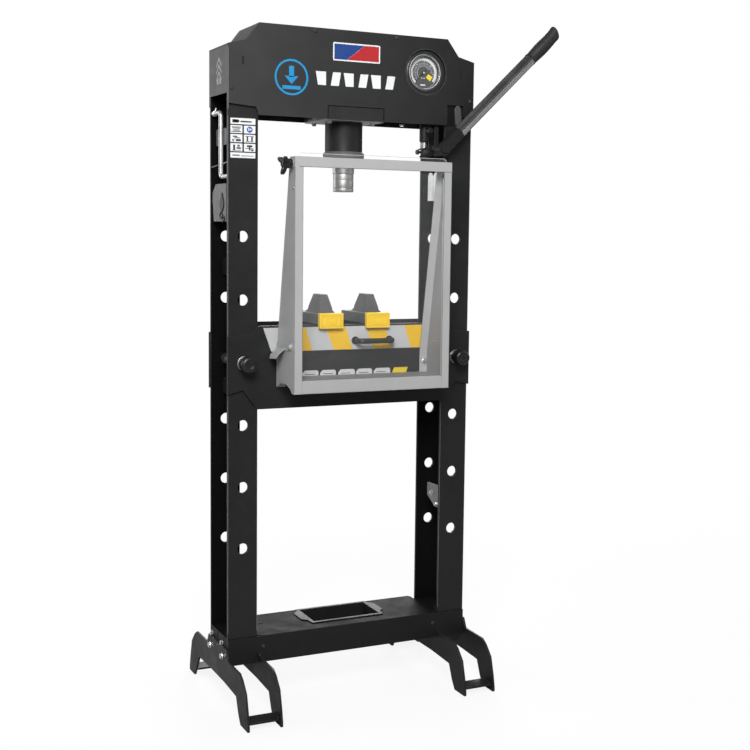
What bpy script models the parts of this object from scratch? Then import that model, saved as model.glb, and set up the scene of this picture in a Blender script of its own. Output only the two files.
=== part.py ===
# Hydraulic shop press, floor standing, H-frame, with a front work guard.
# Built in metres, +Z up, -Y is the front, -X is the left. The origin is on the floor under the
# middle of the overall size, pump handle included. All sizes below are millimetres, measured
# from the middle of the two posts.
import math

import bmesh
import bpy
from mathutils import Matrix, Vector

for old in list(bpy.data.objects):
    bpy.data.objects.remove(old, do_unlink=True)

MM = 0.001
GAP = 0.3       # running clearance between neighbours
OVERRUN = 5.0   # how far a cutter passes beyond what it cuts
MIDDLE_X, MIDDLE_Y = 127.4, -2.0  # middle of the overall size
SIDES = (("left", -1), ("right", 1))

# ---- sizes shared between sections ------------------------------------------------
HALF_WIDTH = 343.0        # outer edge of the posts
POST_Y = 74.0             # outer face of the post plates
POST_PLATE_T = 8.0
INNER_Y = POST_Y - POST_PLATE_T - GAP  # half the clear depth between the post plates

HOLE_X = 302.5            # centre line of the bed pin holes
HOLE_R = 14.2
HOLE_PITCH = 160.0
HOLE_TOP = 1216.0
HOLE_ROWS = 6
BED_ROW = 2               # row that carries the bed, counted from 0 at the top
PIN_Z = HOLE_TOP - BED_ROW * HOLE_PITCH

PLATE_Y0 = POST_Y + GAP   # inner face of the beam and bed plates
PLATE_Y1 = PLATE_Y0 + 7.7
EAR_X = HALF_WIDTH + 2.0  # outer edge of the beam and bed plates

BED_TOP = 990.0
LEG_T = 6.0
LEG_IN_X = 256.6          # inner face of the inner legs
GAUGE_X, GAUGE_Z = 200.5, 1655.0
CYL_R = 49.5
MOUNT_Z0, MOUNT_Z1 = 1517.0, 1537.0


# ---- materials --------------------------------------------------------------------
def material(name, colour, roughness, metallic=0.0):
    made = bpy.data.materials.new(name)
    made.use_nodes = True
    shader = made.node_tree.nodes["Principled BSDF"]
    shader.inputs["Base Color"].default_value = (*colour, 1.0)
    shader.inputs["Roughness"].default_value = roughness
    shader.inputs["Metallic"].default_value = metallic
    made.diffuse_color = (*colour, 1.0)
    return made


BLACK = material("frame_black", colour=(0.028, 0.028, 0.030), roughness=0.45)
GREY = material("guard_grey", colour=(0.36, 0.36, 0.36), roughness=0.42)
STEEL = material("bright_steel", colour=(0.62, 0.62, 0.62), roughness=0.22, metallic=1.0)
ZINC = material("zinc_plate", colour=(0.55, 0.56, 0.57), roughness=0.35, metallic=1.0)
BLOCK = material("block_grey", colour=(0.07, 0.07, 0.075), roughness=0.55)
YELLOW = material("cap_yellow", colour=(0.75, 0.50, 0.03), roughness=0.45)
RUBBER = material("grip_rubber", colour=(0.02, 0.02, 0.02), roughness=0.7)
KNOB = material("knob_plastic", colour=(0.02, 0.02, 0.02), roughness=0.4)
CLEAR = material("clear_sheet", colour=(0.85, 0.88, 0.90), roughness=0.08)
DIAL = material("dial_face", colour=(0.05, 0.05, 0.055), roughness=0.5)
LEVER = material("lever_grey", colour=(0.10, 0.10, 0.10), roughness=0.35, metallic=0.6)


# ---- outlines and paths -----------------------------------------------------------
def span(side, near, far, middle=0.0):
    """Low and high end of a range given as distances from the middle, on one side of it."""
    return sorted((middle + side * near, middle + side * far))


def symmetric(half, middle=0.0):
    """Whole outline from its right half, with x measured from the middle."""
    left = [(middle - x, other) for x, other in reversed(half)]
    return left + [(middle + x, other) for x, other in half]


def circle(centre, radius, steps):
    angles = [math.tau * i / steps for i in range(steps)]
    return [
        (centre[0] + radius * math.cos(angle), centre[1] + radius * math.sin(angle))
        for angle in angles
    ]


def rounded_path(points, radius, steps):
    """Replace each inner corner of a path of straight runs with an arc."""
    points = [Vector(p) for p in points]
    out = [points[0]]
    for before, here, after in zip(points, points[1:], points[2:]):
        back, ahead = (before - here).normalized(), (after - here).normalized()
        half_angle = back.angle(ahead) / 2
        reach = radius / math.tan(half_angle)
        centre = here + (back + ahead).normalized() * (radius / math.sin(half_angle))
        start, end = here + back * reach - centre, here + ahead * reach - centre
        turn = start.angle(end)
        axis = start.cross(end).normalized()
        for i in range(steps + 1):
            out.append(centre + Matrix.Rotation(turn * i / steps, 3, axis) @ start)
    out.append(points[-1])
    return out


# ---- solids -----------------------------------------------------------------------
def finish(bm):
    bmesh.ops.recalc_face_normals(bm, faces=bm.faces)
    return bm


def place(axis, first, second, height):
    """Point from its height on an axis and its place in the two other axes."""
    return {
        "X": (height, first, second),
        "Y": (first, height, second),
        "Z": (first, second, height),
    }[axis]


def loft(rings):
    """Closed skin through equal rings of points, with flat ends."""
    bm = bmesh.new()
    made = [[bm.verts.new(p) for p in ring] for ring in rings]
    for one, two in zip(made, made[1:]):
        for i in range(len(one)):
            j = (i + 1) % len(one)
            bm.faces.new((one[i], one[j], two[j], two[i]))
    bm.faces.new(made[0])
    bm.faces.new(made[-1])
    return finish(bm)


def prism(outline, axis, low, high):
    """Flat outline pushed along an axis: (y, z) for X, (x, z) for Y, (x, y) for Z."""
    return loft([[place(axis, *point, height) for point in outline] for height in (low, high)])


def box(x0, x1, y0, y1, z0, z1):
    return prism([(x0, y0), (x1, y0), (x1, y1), (x0, y1)], "Z", z0, z1)


def cylinder(axis, centre, low, high, radius, steps):
    """Round bar; centre is its place in the two other axes."""
    return prism(circle(centre, radius, steps), axis, low, high)


def bore(axis, centre, low, high, radius, steps):
    """Cutter for a round hole right through low to high."""
    return cylinder(axis, centre, low - OVERRUN, high + OVERRUN, radius, steps)


def lathe(profile, centre, axis, steps):
    """Closed (radius, height) profile turned about an axis; radius 0 lies on the axis."""
    bm = bmesh.new()
    rings = []
    for radius, height in profile:
        ring = circle((0, 0), radius, steps if radius else 1)
        rings.append([
            bm.verts.new(Vector(centre) + Vector(place(axis, *point, height))) for point in ring
        ])
    for one, two in zip(rings, rings[1:] + rings[:1]):
        if len(one) == 1 and len(two) == 1:
            continue
        for i in range(steps):
            j = (i + 1) % steps
            if len(one) == 1:
                bm.faces.new((one[0], two[i], two[j]))
            elif len(two) == 1:
                bm.faces.new((one[i], one[j], two[0]))
            else:
                bm.faces.new((one[i], one[j], two[j], two[i]))
    return finish(bm)


def sweep(path, radius, other_radius, steps, side=(0, 0, 1)):
    """Bar of elliptical section along a path; side is the direction of the first radius."""
    runs = [(end - start).normalized() for start, end in zip(path, path[1:])]
    side = Vector(side)
    rings = []
    for k, here in enumerate(path):
        before, after = runs[max(k - 1, 0)], runs[min(k, len(runs) - 1)]
        along = (before + after).normalized()
        side = (side - along * side.dot(along)).normalized()
        other = along.cross(side).normalized()
        # Widen the section across each bend, so that the bar keeps its thickness.
        bend = (after - before).normalized()
        stretch = 1.0 / along.dot(after)
        ring = []
        for u, v in circle((0, 0), 1.0, steps):
            offset = side * (radius * u) + other * (other_radius * v)
            offset += bend * (offset.dot(bend) * (stretch - 1.0))
            ring.append(here + offset)
        rings.append(ring)
    return loft(rings)


def turned(bm, angle, centre):
    """Rotate a shape about the Y direction through a point."""
    turn = Matrix.Rotation(angle, 3, "Y")
    bmesh.ops.rotate(bm, verts=bm.verts, cent=Vector(centre), matrix=turn)
    return bm


def combine(base, joins=(), cuts=()):
    """Exact Boolean of closed shapes: joins are added to the base, then cuts are taken away."""
    def holder(bm):
        mesh = bpy.data.meshes.new("tool")
        bm.to_mesh(mesh)
        bm.free()
        obj = bpy.data.objects.new("tool", mesh)
        bpy.context.scene.collection.objects.link(obj)
        return obj

    body = holder(base)
    tools = []
    for kind, shapes in (("UNION", joins), ("DIFFERENCE", cuts)):
        for shape in shapes:
            tool = holder(shape)
            modifier = body.modifiers.new(kind, "BOOLEAN")
            modifier.operation = kind
            modifier.solver = "EXACT"
            modifier.object = tool
            tools.append(tool)
    bpy.context.view_layer.update()
    evaluated = body.evaluated_get(bpy.context.evaluated_depsgraph_get())
    result = bpy.data.meshes.new_from_object(evaluated)
    bm = bmesh.new()
    bm.from_mesh(result)
    bpy.data.meshes.remove(result)
    for obj in [body, *tools]:
        mesh = obj.data
        bpy.data.objects.remove(obj, do_unlink=True)
        bpy.data.meshes.remove(mesh)
    # Weld stray seam points, then merge the faces that lie in one plane.
    bmesh.ops.remove_doubles(bm, verts=bm.verts, dist=0.001)
    bmesh.ops.dissolve_limit(bm, angle_limit=0.0005, verts=bm.verts, edges=bm.edges)
    return finish(bm)


press = bpy.data.objects.new("press", None)
press.location = (-MIDDLE_X * MM, -MIDDLE_Y * MM, 0)
bpy.context.scene.collection.objects.link(press)


def add(name, bm, mat, origin=(0, 0, 0), smooth=False):
    """Make a named object in metres with its origin at a point given in millimetres."""
    origin = Vector(origin) * MM
    mesh = bpy.data.meshes.new(name)
    for v in bm.verts:
        v.co = v.co * MM - origin
    bm.to_mesh(mesh)
    bm.free()
    mesh.materials.append(mat)
    if smooth:
        mesh.shade_smooth()
        mesh.set_sharp_from_angle(angle=math.radians(35))
    obj = bpy.data.objects.new(name, mesh)
    obj.location = origin
    obj.parent = press
    bpy.context.scene.collection.objects.link(obj)


# ---- posts ------------------------------------------------------------------------
POST_IN = 264.0           # inner edge of the posts
POST_BOTTOM, POST_TOP = 121.0, 1678.0
SPACER_X0, SPACER_X1 = 295, 312
SPACER_WALL = 4


def post_plate(side, y0, y1):
    """Upright plate with its row of pin holes."""
    rows = [HOLE_TOP - HOLE_PITCH * k for k in range(HOLE_ROWS)]
    return combine(
        box(*span(side, POST_IN, HALF_WIDTH), y0, y1, POST_BOTTOM, POST_TOP),
        cuts=[bore("Y", (side * HOLE_X, z), y0, y1, HOLE_R, 20) for z in rows],
    )


def post_spacer(side, z0, z1):
    """Rectangular tube between the two plates of a post, open at the front and back."""
    x0, x1 = span(side, SPACER_X0, SPACER_X1)
    inside = box(
        x0 + SPACER_WALL, x1 - SPACER_WALL, -INNER_Y - OVERRUN, INNER_Y + OVERRUN,
        z0 + SPACER_WALL, z1 - SPACER_WALL,
    )
    return combine(box(x0, x1, -INNER_Y, INNER_Y, z0, z1), cuts=[inside])


for label, side in SIDES:
    for where, y0, y1 in (
        ("front", -POST_Y, -POST_Y + POST_PLATE_T), ("rear", POST_Y - POST_PLATE_T, POST_Y),
    ):
        add(f"{label}_post_{where}_plate", post_plate(side, y0, y1), BLACK)

add("left_post_upper_spacer", post_spacer(-1, 1116, 1158), BLACK)
add("left_post_lower_spacer", post_spacer(-1, 805, 845), BLACK)
add("right_post_upper_spacer", post_spacer(1, 1116, 1158), BLACK)

# Angle bracket low in the right post: a side sheet (y, z) with a flange along its front edge.
BRACKET_SIDE = [
    (-INNER_Y, 473.5), (-40, 473.5), (5.5, 498.5), (5.5, 533.5), (-INNER_Y, 535.5),
]
BRACKET_T = 3
add(
    "right_post_bracket",
    combine(
        prism(BRACKET_SIDE, "X", 267, 267 + BRACKET_T),
        joins=[box(268, 292, -INNER_Y, -INNER_Y + BRACKET_T, 476, 533)],
    ),
    ZINC,
)

# ---- beam -------------------------------------------------------------------------
BEAM_CORNER = (264, 1745.5)
BEAM_SHOULDER = (297.5, 1701.5)
# Right half of the beam plates, (x, z) from the top.
BEAM = symmetric([
    BEAM_CORNER, BEAM_SHOULDER, (EAR_X, 1689.5), (EAR_X, 1544.5), (272, 1538.5), (264.5, 1519.5),
])
GAUGE_HOLE_R = 59.0
REAR_PLATE_T = 2.5
COVER_T = 3.0
SIDE_COVER_T = 1.6


def beam_cut(x0, x1, z0, z1):
    """Cutter for a rectangular opening in the front plate."""
    return box(x0, x1, -PLATE_Y1 - OVERRUN, -PLATE_Y0 + OVERRUN, z0, z1)


add(
    "beam_front_plate",
    combine(
        prism(BEAM, "Y", -PLATE_Y1, -PLATE_Y0),
        cuts=[
            bore("Y", (GAUGE_X, GAUGE_Z), -PLATE_Y1, -PLATE_Y0, GAUGE_HOLE_R, 40),
            beam_cut(266, 314, 1505, 1573),
            beam_cut(-309, -303, 1640, 1660),
            beam_cut(303, 309, 1640, 1660),
        ],
    ),
    BLACK,
)
# The rear plate is the same outline drawn in a little at the ends.
REAR_SCALE = (HALF_WIDTH + 1) / EAR_X
add(
    "beam_rear_plate",
    prism([(x * REAR_SCALE, z) for x, z in BEAM], "Y", PLATE_Y0, PLATE_Y0 + REAR_PLATE_T),
    BLACK,
)


def folded(line, thickness, y0, y1):
    """Sheet folded along a line of (x, z) points, thickness measured downwards."""
    normals = []
    for start, end in zip(line, line[1:]):
        dx, dz = end[0] - start[0], end[1] - start[1]
        size = math.hypot(dx, dz)
        normals.append((dz / size, -dx / size))
    under = []
    for k, (x, z) in enumerate(line):
        before, after = normals[max(k - 1, 0)], normals[min(k, len(normals) - 1)]
        mitre_x, mitre_z = (before[0] + after[0]) / 2, (before[1] + after[1]) / 2
        scale = thickness / (mitre_x ** 2 + mitre_z ** 2)
        under.append((x + mitre_x * scale, z + mitre_z * scale))
    return prism(line + under[::-1], "Y", y0, y1)


cover_line = symmetric([BEAM_CORNER, BEAM_SHOULDER, (HALF_WIDTH, 1690.1)])
add("beam_top_cover", folded(cover_line, COVER_T, -POST_Y, POST_Y), BLACK)
for label, side in SIDES:
    x0, x1 = span(side, HALF_WIDTH + GAP, HALF_WIDTH + GAP + SIDE_COVER_T)
    add(f"{label}_side_cover", box(x0, x1, -POST_Y, POST_Y, 1570, 1686), BLACK)

# ---- cylinder and ram -------------------------------------------------------------
CYL_BORE_R = 30.0
CYL_TOP, CYL_BORE_TOP, CYL_BOTTOM = 1690, 1655, 1424
GLAND_R = 54.0            # wider ring at the lower end of the cylinder
COLLAR_R, COLLAR_TOP = 66, MOUNT_Z1 + 14
RAM_R = 28.5
RAM_TOP, RAM_JOINT, RAM_TIP = 1645, 1383, 1336.5
RAM_CHAMFER = 1.2         # at the joint between piston and nose

add(
    "cylinder_mount_plate",
    combine(
        box(-82, 82, -POST_Y, POST_Y, MOUNT_Z0, MOUNT_Z1),
        cuts=[bore("Z", (0, 0), MOUNT_Z0, MOUNT_Z1, CYL_R + GAP, 32)],
    ),
    ZINC,
)
# (radius, z): down the outside, then up the bore.
CYLINDER = [
    (0, CYL_TOP), (44, CYL_TOP), (CYL_R, 1684), (CYL_R, COLLAR_TOP), (COLLAR_R, COLLAR_TOP),
    (COLLAR_R, MOUNT_Z1 + GAP), (CYL_R, MOUNT_Z1 + GAP), (CYL_R, 1441), (GLAND_R, 1437),
    (GLAND_R, 1427), (GLAND_R - 2, CYL_BOTTOM), (CYL_BORE_R, CYL_BOTTOM),
    (CYL_BORE_R, CYL_BORE_TOP), (0, CYL_BORE_TOP),
]
add("ram_cylinder", lathe(CYLINDER, (0, 0, 0), "Z", 32), BLACK, smooth=True)

PISTON_END = RAM_JOINT + GAP
PISTON = [
    (0, RAM_TOP), (RAM_R, RAM_TOP), (RAM_R, PISTON_END + RAM_CHAMFER),
    (RAM_R - RAM_CHAMFER, PISTON_END), (0, PISTON_END),
]
add("ram_piston", lathe(PISTON, (0, 0, 0), "Z", 32), STEEL, (0, 0, PISTON_END), smooth=True)

NOSE = [
    (0, RAM_JOINT), (RAM_R - RAM_CHAMFER, RAM_JOINT), (RAM_R, RAM_JOINT - RAM_CHAMFER),
    (RAM_R, RAM_TIP + 2), (RAM_R - 1.5, RAM_TIP), (0, RAM_TIP),
]
add("ram_nose", lathe(NOSE, (0, 0, 0), "Z", 32), STEEL, (0, 0, RAM_TIP), smooth=True)

# ---- base and parts tray ----------------------------------------------------------
BASE_BOTTOM, BASE_TOP = 111.0, 182.0
END_BOTTOM = 140          # lower edge of the end walls
WALL_TOP = BASE_TOP - 1.5  # walls stop inside the thickness of the web
BASE_FRONT = 78.3         # distance of the front wall in front of the middle
BASE_REAR = 98.0
SHEET = 4.0
WEB_X = 260.0             # half width of the part that is deeper than the posts
FRONT_CHAMFER, REAR_CHAMFER = 12, 6
TRAY_X, TRAY_Y = 10, 27   # middle of the tray
TRAY_HALF_X, TRAY_HALF_Y = 98, 57
TRAY_FLOOR, TRAY_T = 134, 2
RIM_Z, RIM_T = BASE_TOP + GAP, 3

# Flat top of the base, (x, y), right half from front to back.
WEB = symmetric([
    (WEB_X - FRONT_CHAMFER, -BASE_FRONT), (WEB_X, -BASE_FRONT + FRONT_CHAMFER),
    (WEB_X, -INNER_Y), (HALF_WIDTH, -INNER_Y), (HALF_WIDTH, INNER_Y), (WEB_X, INNER_Y),
    (WEB_X, BASE_REAR - REAR_CHAMFER), (WEB_X - REAR_CHAMFER, BASE_REAR),
])


def tray_box(margin, z0, z1):
    """Box of the tray's plan size, grown by a margin on every side."""
    half_x, half_y = TRAY_HALF_X + margin, TRAY_HALF_Y + margin
    return box(TRAY_X - half_x, TRAY_X + half_x, TRAY_Y - half_y, TRAY_Y + half_y, z0, z1)


base_walls = [
    box(-HALF_WIDTH, HALF_WIDTH, -BASE_FRONT, -BASE_FRONT + SHEET, BASE_BOTTOM, WALL_TOP),
    box(-WEB_X + 8, WEB_X - 8, BASE_REAR - SHEET, BASE_REAR, BASE_BOTTOM, WALL_TOP),
]
base_cuts = [
    tray_box(2.5, BASE_TOP - 20, BASE_TOP + 10),
    box(-246, -215, 16, 21, BASE_TOP - 20, BASE_TOP + 10),
]
for label, side in SIDES:
    end_wall = span(side, HALF_WIDTH - SHEET, HALF_WIDTH)
    base_walls.append(box(*end_wall, -INNER_Y, INNER_Y, END_BOTTOM, WALL_TOP))
    inner_leg = span(side, LEG_IN_X - 1.0, LEG_IN_X + LEG_T + 1.0)
    base_cuts.append(box(*inner_leg, -90, -60, BASE_BOTTOM - OVERRUN, 130.7))
    end_slot = span(side, HALF_WIDTH - 10, HALF_WIDTH + 10)
    base_cuts.append(box(*end_slot, 9, 14, BASE_BOTTOM - OVERRUN, 176))
add(
    "base_channel",
    combine(prism(WEB, "Z", BASE_TOP - SHEET, BASE_TOP), joins=base_walls, cuts=base_cuts),
    BLACK,
)

# Rim of the tray, (x, y).
RIM = [
    (-94, -38), (114, -38), (118, -10), (131, 2), (131, 60), (118, 74),
    (114, 92), (-94, 92), (-98, 74), (-111, 60), (-111, 2), (-98, -10),
]
add(
    "parts_tray",
    combine(
        prism(RIM, "Z", RIM_Z, RIM_Z + RIM_T),
        joins=[tray_box(0, TRAY_FLOOR, RIM_Z + RIM_T / 2)],
        cuts=[tray_box(-TRAY_T, TRAY_FLOOR + TRAY_T, RIM_Z + 20)],
    ),
    BLACK, (TRAY_X, TRAY_Y, RIM_Z),
)

# ---- legs -------------------------------------------------------------------------
LEG_OUT_X = 343.6         # inner face of the outer legs
LEG_Y = -2.0              # middle of the legs
FOOT_Y = 250.0            # reach of a foot from the middle of the leg
SOLE_Y = 194              # inner end of the front sole
# Outline runs, (distance from LEG_Y, z), from the top tab round an arm to the underside.
ARM = [
    (184, 129), (203, 118), (231, 91), (246, 40), (FOOT_Y + 2, 11), (FOOT_Y + 2, 2), (FOOT_Y, 0),
]
FRONT_SOLE = [(SOLE_Y, 0), (178, 22), (159, 62)]
REAR_SOLE = [(205, 0), (188, 25), (162, 64)]  # the rear feet stand on a shorter sole
UNDERSIDE = [(60, 67)]


def leg_outline(tab):
    """Leg plate, (y, z): a raised middle tab, an arm to the front and an arm to the back."""
    front = tab + ARM + FRONT_SOLE + UNDERSIDE
    rear = tab + ARM + REAR_SOLE + UNDERSIDE
    return [(LEG_Y + y, z) for y, z in rear] + [(LEG_Y - y, z) for y, z in reversed(front)]


for label, side in SIDES:
    for where, x, tab in (
        ("outer", LEG_OUT_X, [(74, 156), (88, 130)]),
        ("inner", LEG_IN_X, [(58, 156), (70, 130)]),
    ):
        leg = prism(leg_outline(tab), "X", *span(side, x, x + LEG_T))
        add(f"{label}_{where}_leg", leg, BLACK)
    between = span(side, LEG_IN_X + LEG_T + GAP, LEG_OUT_X - GAP)
    for where, end in (("front", -1), ("rear", 1)):
        y0, y1 = span(end, SOLE_Y, FOOT_Y - 6, middle=LEG_Y)
        add(f"{label}_{where}_foot_plate", box(*between, y0, y1, 15, 20), BLACK)

# ---- bed --------------------------------------------------------------------------
# Right half of the bed plates, (x, z) from the top.
BED = symmetric([
    (263.5, BED_TOP), (282, 972.5), (EAR_X, 965), (EAR_X, 818), (306, 828), (267, 777),
])
# Pin, (radius, y), from its rear end to the knob at its front end.
BED_PIN = [
    (0, 100), (10.8, 100), (13.5, 97), (13.5, -83), (16, -83), (16, -97),
    (20, -100), (20.5, -104), (20.5, -126), (17.5, -131), (0, -131),
]
for where, y0, y1 in (("front", -PLATE_Y1, -PLATE_Y0), ("rear", PLATE_Y0, PLATE_Y1)):
    pin_holes = [bore("Y", (side * HOLE_X, PIN_Z), y0, y1, HOLE_R, 20) for _, side in SIDES]
    add(f"bed_{where}_plate", combine(prism(BED, "Y", y0, y1), cuts=pin_holes), BLACK)
for label, side in SIDES:
    spacer = box(*span(side, 244, 256), -POST_Y, POST_Y, 806, 966)
    add(f"bed_{label}_spacer", spacer, BLACK)
    centre = (side * HOLE_X, 0, PIN_Z)
    add(f"{label}_bed_pin", lathe(BED_PIN, centre, "Y", 24), KNOB, centre, smooth=True)

# U-shaped pull handle on the front plate.
HANDLE_X, HANDLE_Z = 52.2, 947.4
HANDLE_HALF = 51.5
HANDLE_FRONT, HANDLE_ROOT = -113, -PLATE_Y1 - GAP
handle_path = rounded_path(
    [
        (HANDLE_X - HANDLE_HALF, HANDLE_ROOT, HANDLE_Z),
        (HANDLE_X - HANDLE_HALF, HANDLE_FRONT, HANDLE_Z),
        (HANDLE_X + HANDLE_HALF, HANDLE_FRONT, HANDLE_Z),
        (HANDLE_X + HANDLE_HALF, HANDLE_ROOT, HANDLE_Z),
    ],
    radius=15, steps=4,
)
add("bed_handle", sweep(handle_path, 8.5, 6.0, 12), KNOB, smooth=True)

# ---- press blocks -----------------------------------------------------------------
BLOCK_Z, BLOCK_TOP = BED_TOP + GAP, 1018.0
BLOCK_HALF, BLOCK_FRONT = 30.5, -94
CAP_HALF = 33
# Raised ridge: half width, front y, rear y, height above the block.
RIDGE = [
    (26, -66, 34, -1), (24, -64, 32, 1), (18.5, -58, 26, 8), (17.5, -57, 25, 15),
    (9.3, -44, 10, 49),
]


def press_block(x):
    rings = []
    for half, front, rear, rise in RIDGE:
        z = BLOCK_TOP + rise
        rings.append([
            (x - half, front, z), (x + half, front, z), (x + half, rear, z), (x - half, rear, z),
        ])
    body = box(x - BLOCK_HALF, x + BLOCK_HALF, BLOCK_FRONT, 82, BLOCK_Z, BLOCK_TOP)
    return combine(body, joins=[loft(rings)])


def block_cap(x):
    """Cap over the front end of a block."""
    hollow = BLOCK_HALF + GAP
    return combine(
        box(x - CAP_HALF, x + CAP_HALF, -97.5, -82.8, 980.5, 1020.5),
        cuts=[box(x - hollow, x + hollow, BLOCK_FRONT - GAP, -70, BLOCK_Z - GAP, BLOCK_TOP + GAP)],
    )


for label, x in (("left", -70.0), ("right", 63.0)):
    add(f"{label}_press_block", press_block(x), BLOCK, (x, 0, BLOCK_Z))
    add(f"{label}_block_cap", block_cap(x), YELLOW, (x, 0, BLOCK_Z))

# ---- guard ------------------------------------------------------------------------
GUARD_X = 216.0           # half width
GUARD_FRONT = -209.0
GUARD_BACK = -PLATE_Y1 - GAP * 2
GUARD_BOTTOM, GUARD_TOP = 828.0, 1413.0
GUARD_T = 2.5
SHELF_Z = 856.0
KNOB_AT = (-199.0, 1395.0)   # (y, z) on the left wing
LATCH_AT = (-187.5, 945.0)   # (y, z) on the left wing
# Side wing, (y, z).
WING = [
    (GUARD_FRONT, GUARD_BOTTOM), (-195, GUARD_BOTTOM), (-180, 839), (-150, 848), (-112, 846),
    (-96, 837), (GUARD_BACK, 833), (GUARD_BACK, 912), (-173, GUARD_TOP), (GUARD_FRONT, GUARD_TOP),
]
# Flange along the rear edge of a wing, (y, z).
LIP = [
    (GUARD_BACK, 833), (GUARD_BACK, 912), (-173, GUARD_TOP),
    (-175.6, GUARD_TOP), (GUARD_BACK - 2.5, 911.5), (GUARD_BACK - 2.5, 833),
]


def left_wing_hole(centre, radius):
    return cylinder("X", centre, -GUARD_X - 5, -GUARD_X + 6, radius, 12)


guard_parts = []
for label, side in SIDES:
    upright = span(side, GUARD_X - 1, GUARD_X - 20)
    guard_parts += [
        prism(WING, "X", *span(side, GUARD_X, GUARD_X - GUARD_T)),
        prism(LIP, "X", *span(side, GUARD_X - 1, GUARD_X - 24)),
        box(*upright, -199.5, -197.5, SHELF_Z + 1, 1372),
    ]
guard_parts.append(box(
    -GUARD_X + 1, GUARD_X - 1, GUARD_FRONT + 1, GUARD_BACK - 1, SHELF_Z, SHELF_Z + GUARD_T,
))
window_opening = box(-GUARD_X + 22, GUARD_X - 22, GUARD_FRONT - 5, GUARD_FRONT + 6, 861, 1390)
add(
    "guard_frame",
    combine(
        box(-GUARD_X, GUARD_X, GUARD_FRONT, GUARD_FRONT + GUARD_T, GUARD_BOTTOM, GUARD_TOP),
        joins=guard_parts,
        cuts=[window_opening, left_wing_hole(KNOB_AT, 4.6), left_wing_hole(LATCH_AT, 3.3)],
    ),
    GREY,
)

WINDOW_X, WINDOW_TOP = 203.0, 1422.0
CORNER = 12.0             # size of the eased top corners
EASE = CORNER * 0.3
WINDOW = symmetric([
    (WINDOW_X, SHELF_Z + GUARD_T + GAP), (WINDOW_X, WINDOW_TOP - CORNER),
    (WINDOW_X - EASE, WINDOW_TOP - EASE), (WINDOW_X - CORNER, WINDOW_TOP),
])
add("guard_window", prism(WINDOW, "Y", -204.0, -201.0), CLEAR)

# Three-lobed knob outside the left wing, with a stem through it.
KNOB_STEPS, KNOB_LOBES = 30, 3
KNOB_MEAN_R, KNOB_SWING = 20.0, 8.0
KNOB_STATIONS = ((-233.0, 0.86), (-235.0, 1.0), (-249.0, 1.0), (-252.0, 0.84))  # x, scale
KNOB_STEM = [(0, -240), (11, -240), (11, -221), (4.2, -219), (4.2, -208), (0, -208)]
star = []
for i in range(KNOB_STEPS):
    angle = math.tau * i / KNOB_STEPS
    radius = KNOB_MEAN_R + KNOB_SWING * math.cos(KNOB_LOBES * angle)
    star.append((radius * math.cos(angle - math.pi / 2), radius * math.sin(angle - math.pi / 2)))
knob_rings = [
    [(x, KNOB_AT[0] + y * scale, KNOB_AT[1] + z * scale) for y, z in star]
    for x, scale in KNOB_STATIONS
]
add(
    "guard_knob",
    combine(loft(knob_rings), joins=[lathe(KNOB_STEM, (0, *KNOB_AT), "X", 16)]),
    KNOB, (-240, *KNOB_AT), smooth=True,
)

# Latch: a plate (y, z) on the left wing, a bent tab and a headed pin (radius, x).
LATCH_PLATE = [
    (-198, 944), (-194, 954), (-184, 956), (-92, 949),
    (-88, 938), (-92, 927), (-180, 935), (-194, 937),
]
# Distance outside the wing, then four (y, z) corners.
LATCH_TAB = [
    (1.0, [(-150, 940), (-94, 936), (-94, 933.5), (-150, 937.5)]),
    (20.0, [(-150, 924), (-94, 920), (-94, 917.5), (-150, 921.5)]),
    (24.0, [(-146, 914), (-98, 910.5), (-98, 908), (-146, 911.5)]),
]
LATCH_PIN = [
    (0, -223), (5, -223), (6.5, -221), (6.5, -218), (3.0, -217.5), (3.0, -212.5), (0, -212.5),
]
tab_rings = [[(-GUARD_X - out, y, z) for y, z in corners] for out, corners in LATCH_TAB]
add(
    "guard_latch",
    combine(
        prism(LATCH_PLATE, "X", -GUARD_X - 2.3, -GUARD_X - GAP),
        joins=[loft(tab_rings), lathe(LATCH_PIN, (0, *LATCH_AT), "X", 14)],
    ),
    GREY, (-GUARD_X, *LATCH_AT),
)

# ---- gauge ------------------------------------------------------------------------
GAUGE_AT = (GAUGE_X, 0, GAUGE_Z)
GAUGE_R = 47.0
STRAP = 62.0  # half length of the strap that hangs the gauge from the back of the beam plate
# Case, (radius, y), from the dial seat round the bezel to the rear stub.
CASE = [
    (0, -64), (42.5, -64), (42.5, -77), (44.5, -79.5), (46.3, -79), (GAUGE_R, -76),
    (GAUGE_R, -72), (45, -70), (45, -42), (40, -38), (8, -38), (8, -24), (0, -24),
]
strap_parts = [
    box(GAUGE_X - STRAP, GAUGE_X + STRAP, -36, -33, GAUGE_Z - 11, GAUGE_Z + 11),
]
for label, side in SIDES:
    x0, x1 = span(side, STRAP - 4, STRAP + 0.5, middle=GAUGE_X)
    strap_parts.append(box(x0, x1, -POST_Y, -33.5, GAUGE_Z - 10.5, GAUGE_Z + 10.5))
add("gauge_case", combine(lathe(CASE, GAUGE_AT, "Y", 36), joins=strap_parts), STEEL, smooth=True)


def gauge_disc(radius, rear, front):
    return lathe([(0, rear), (radius, rear), (radius, front), (0, front)], GAUGE_AT, "Y", 32)


add("gauge_dial", gauge_disc(42, -64.3, -65.5), DIAL)
add("gauge_lens", gauge_disc(42.2, -72.5, -75), CLEAR)

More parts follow.
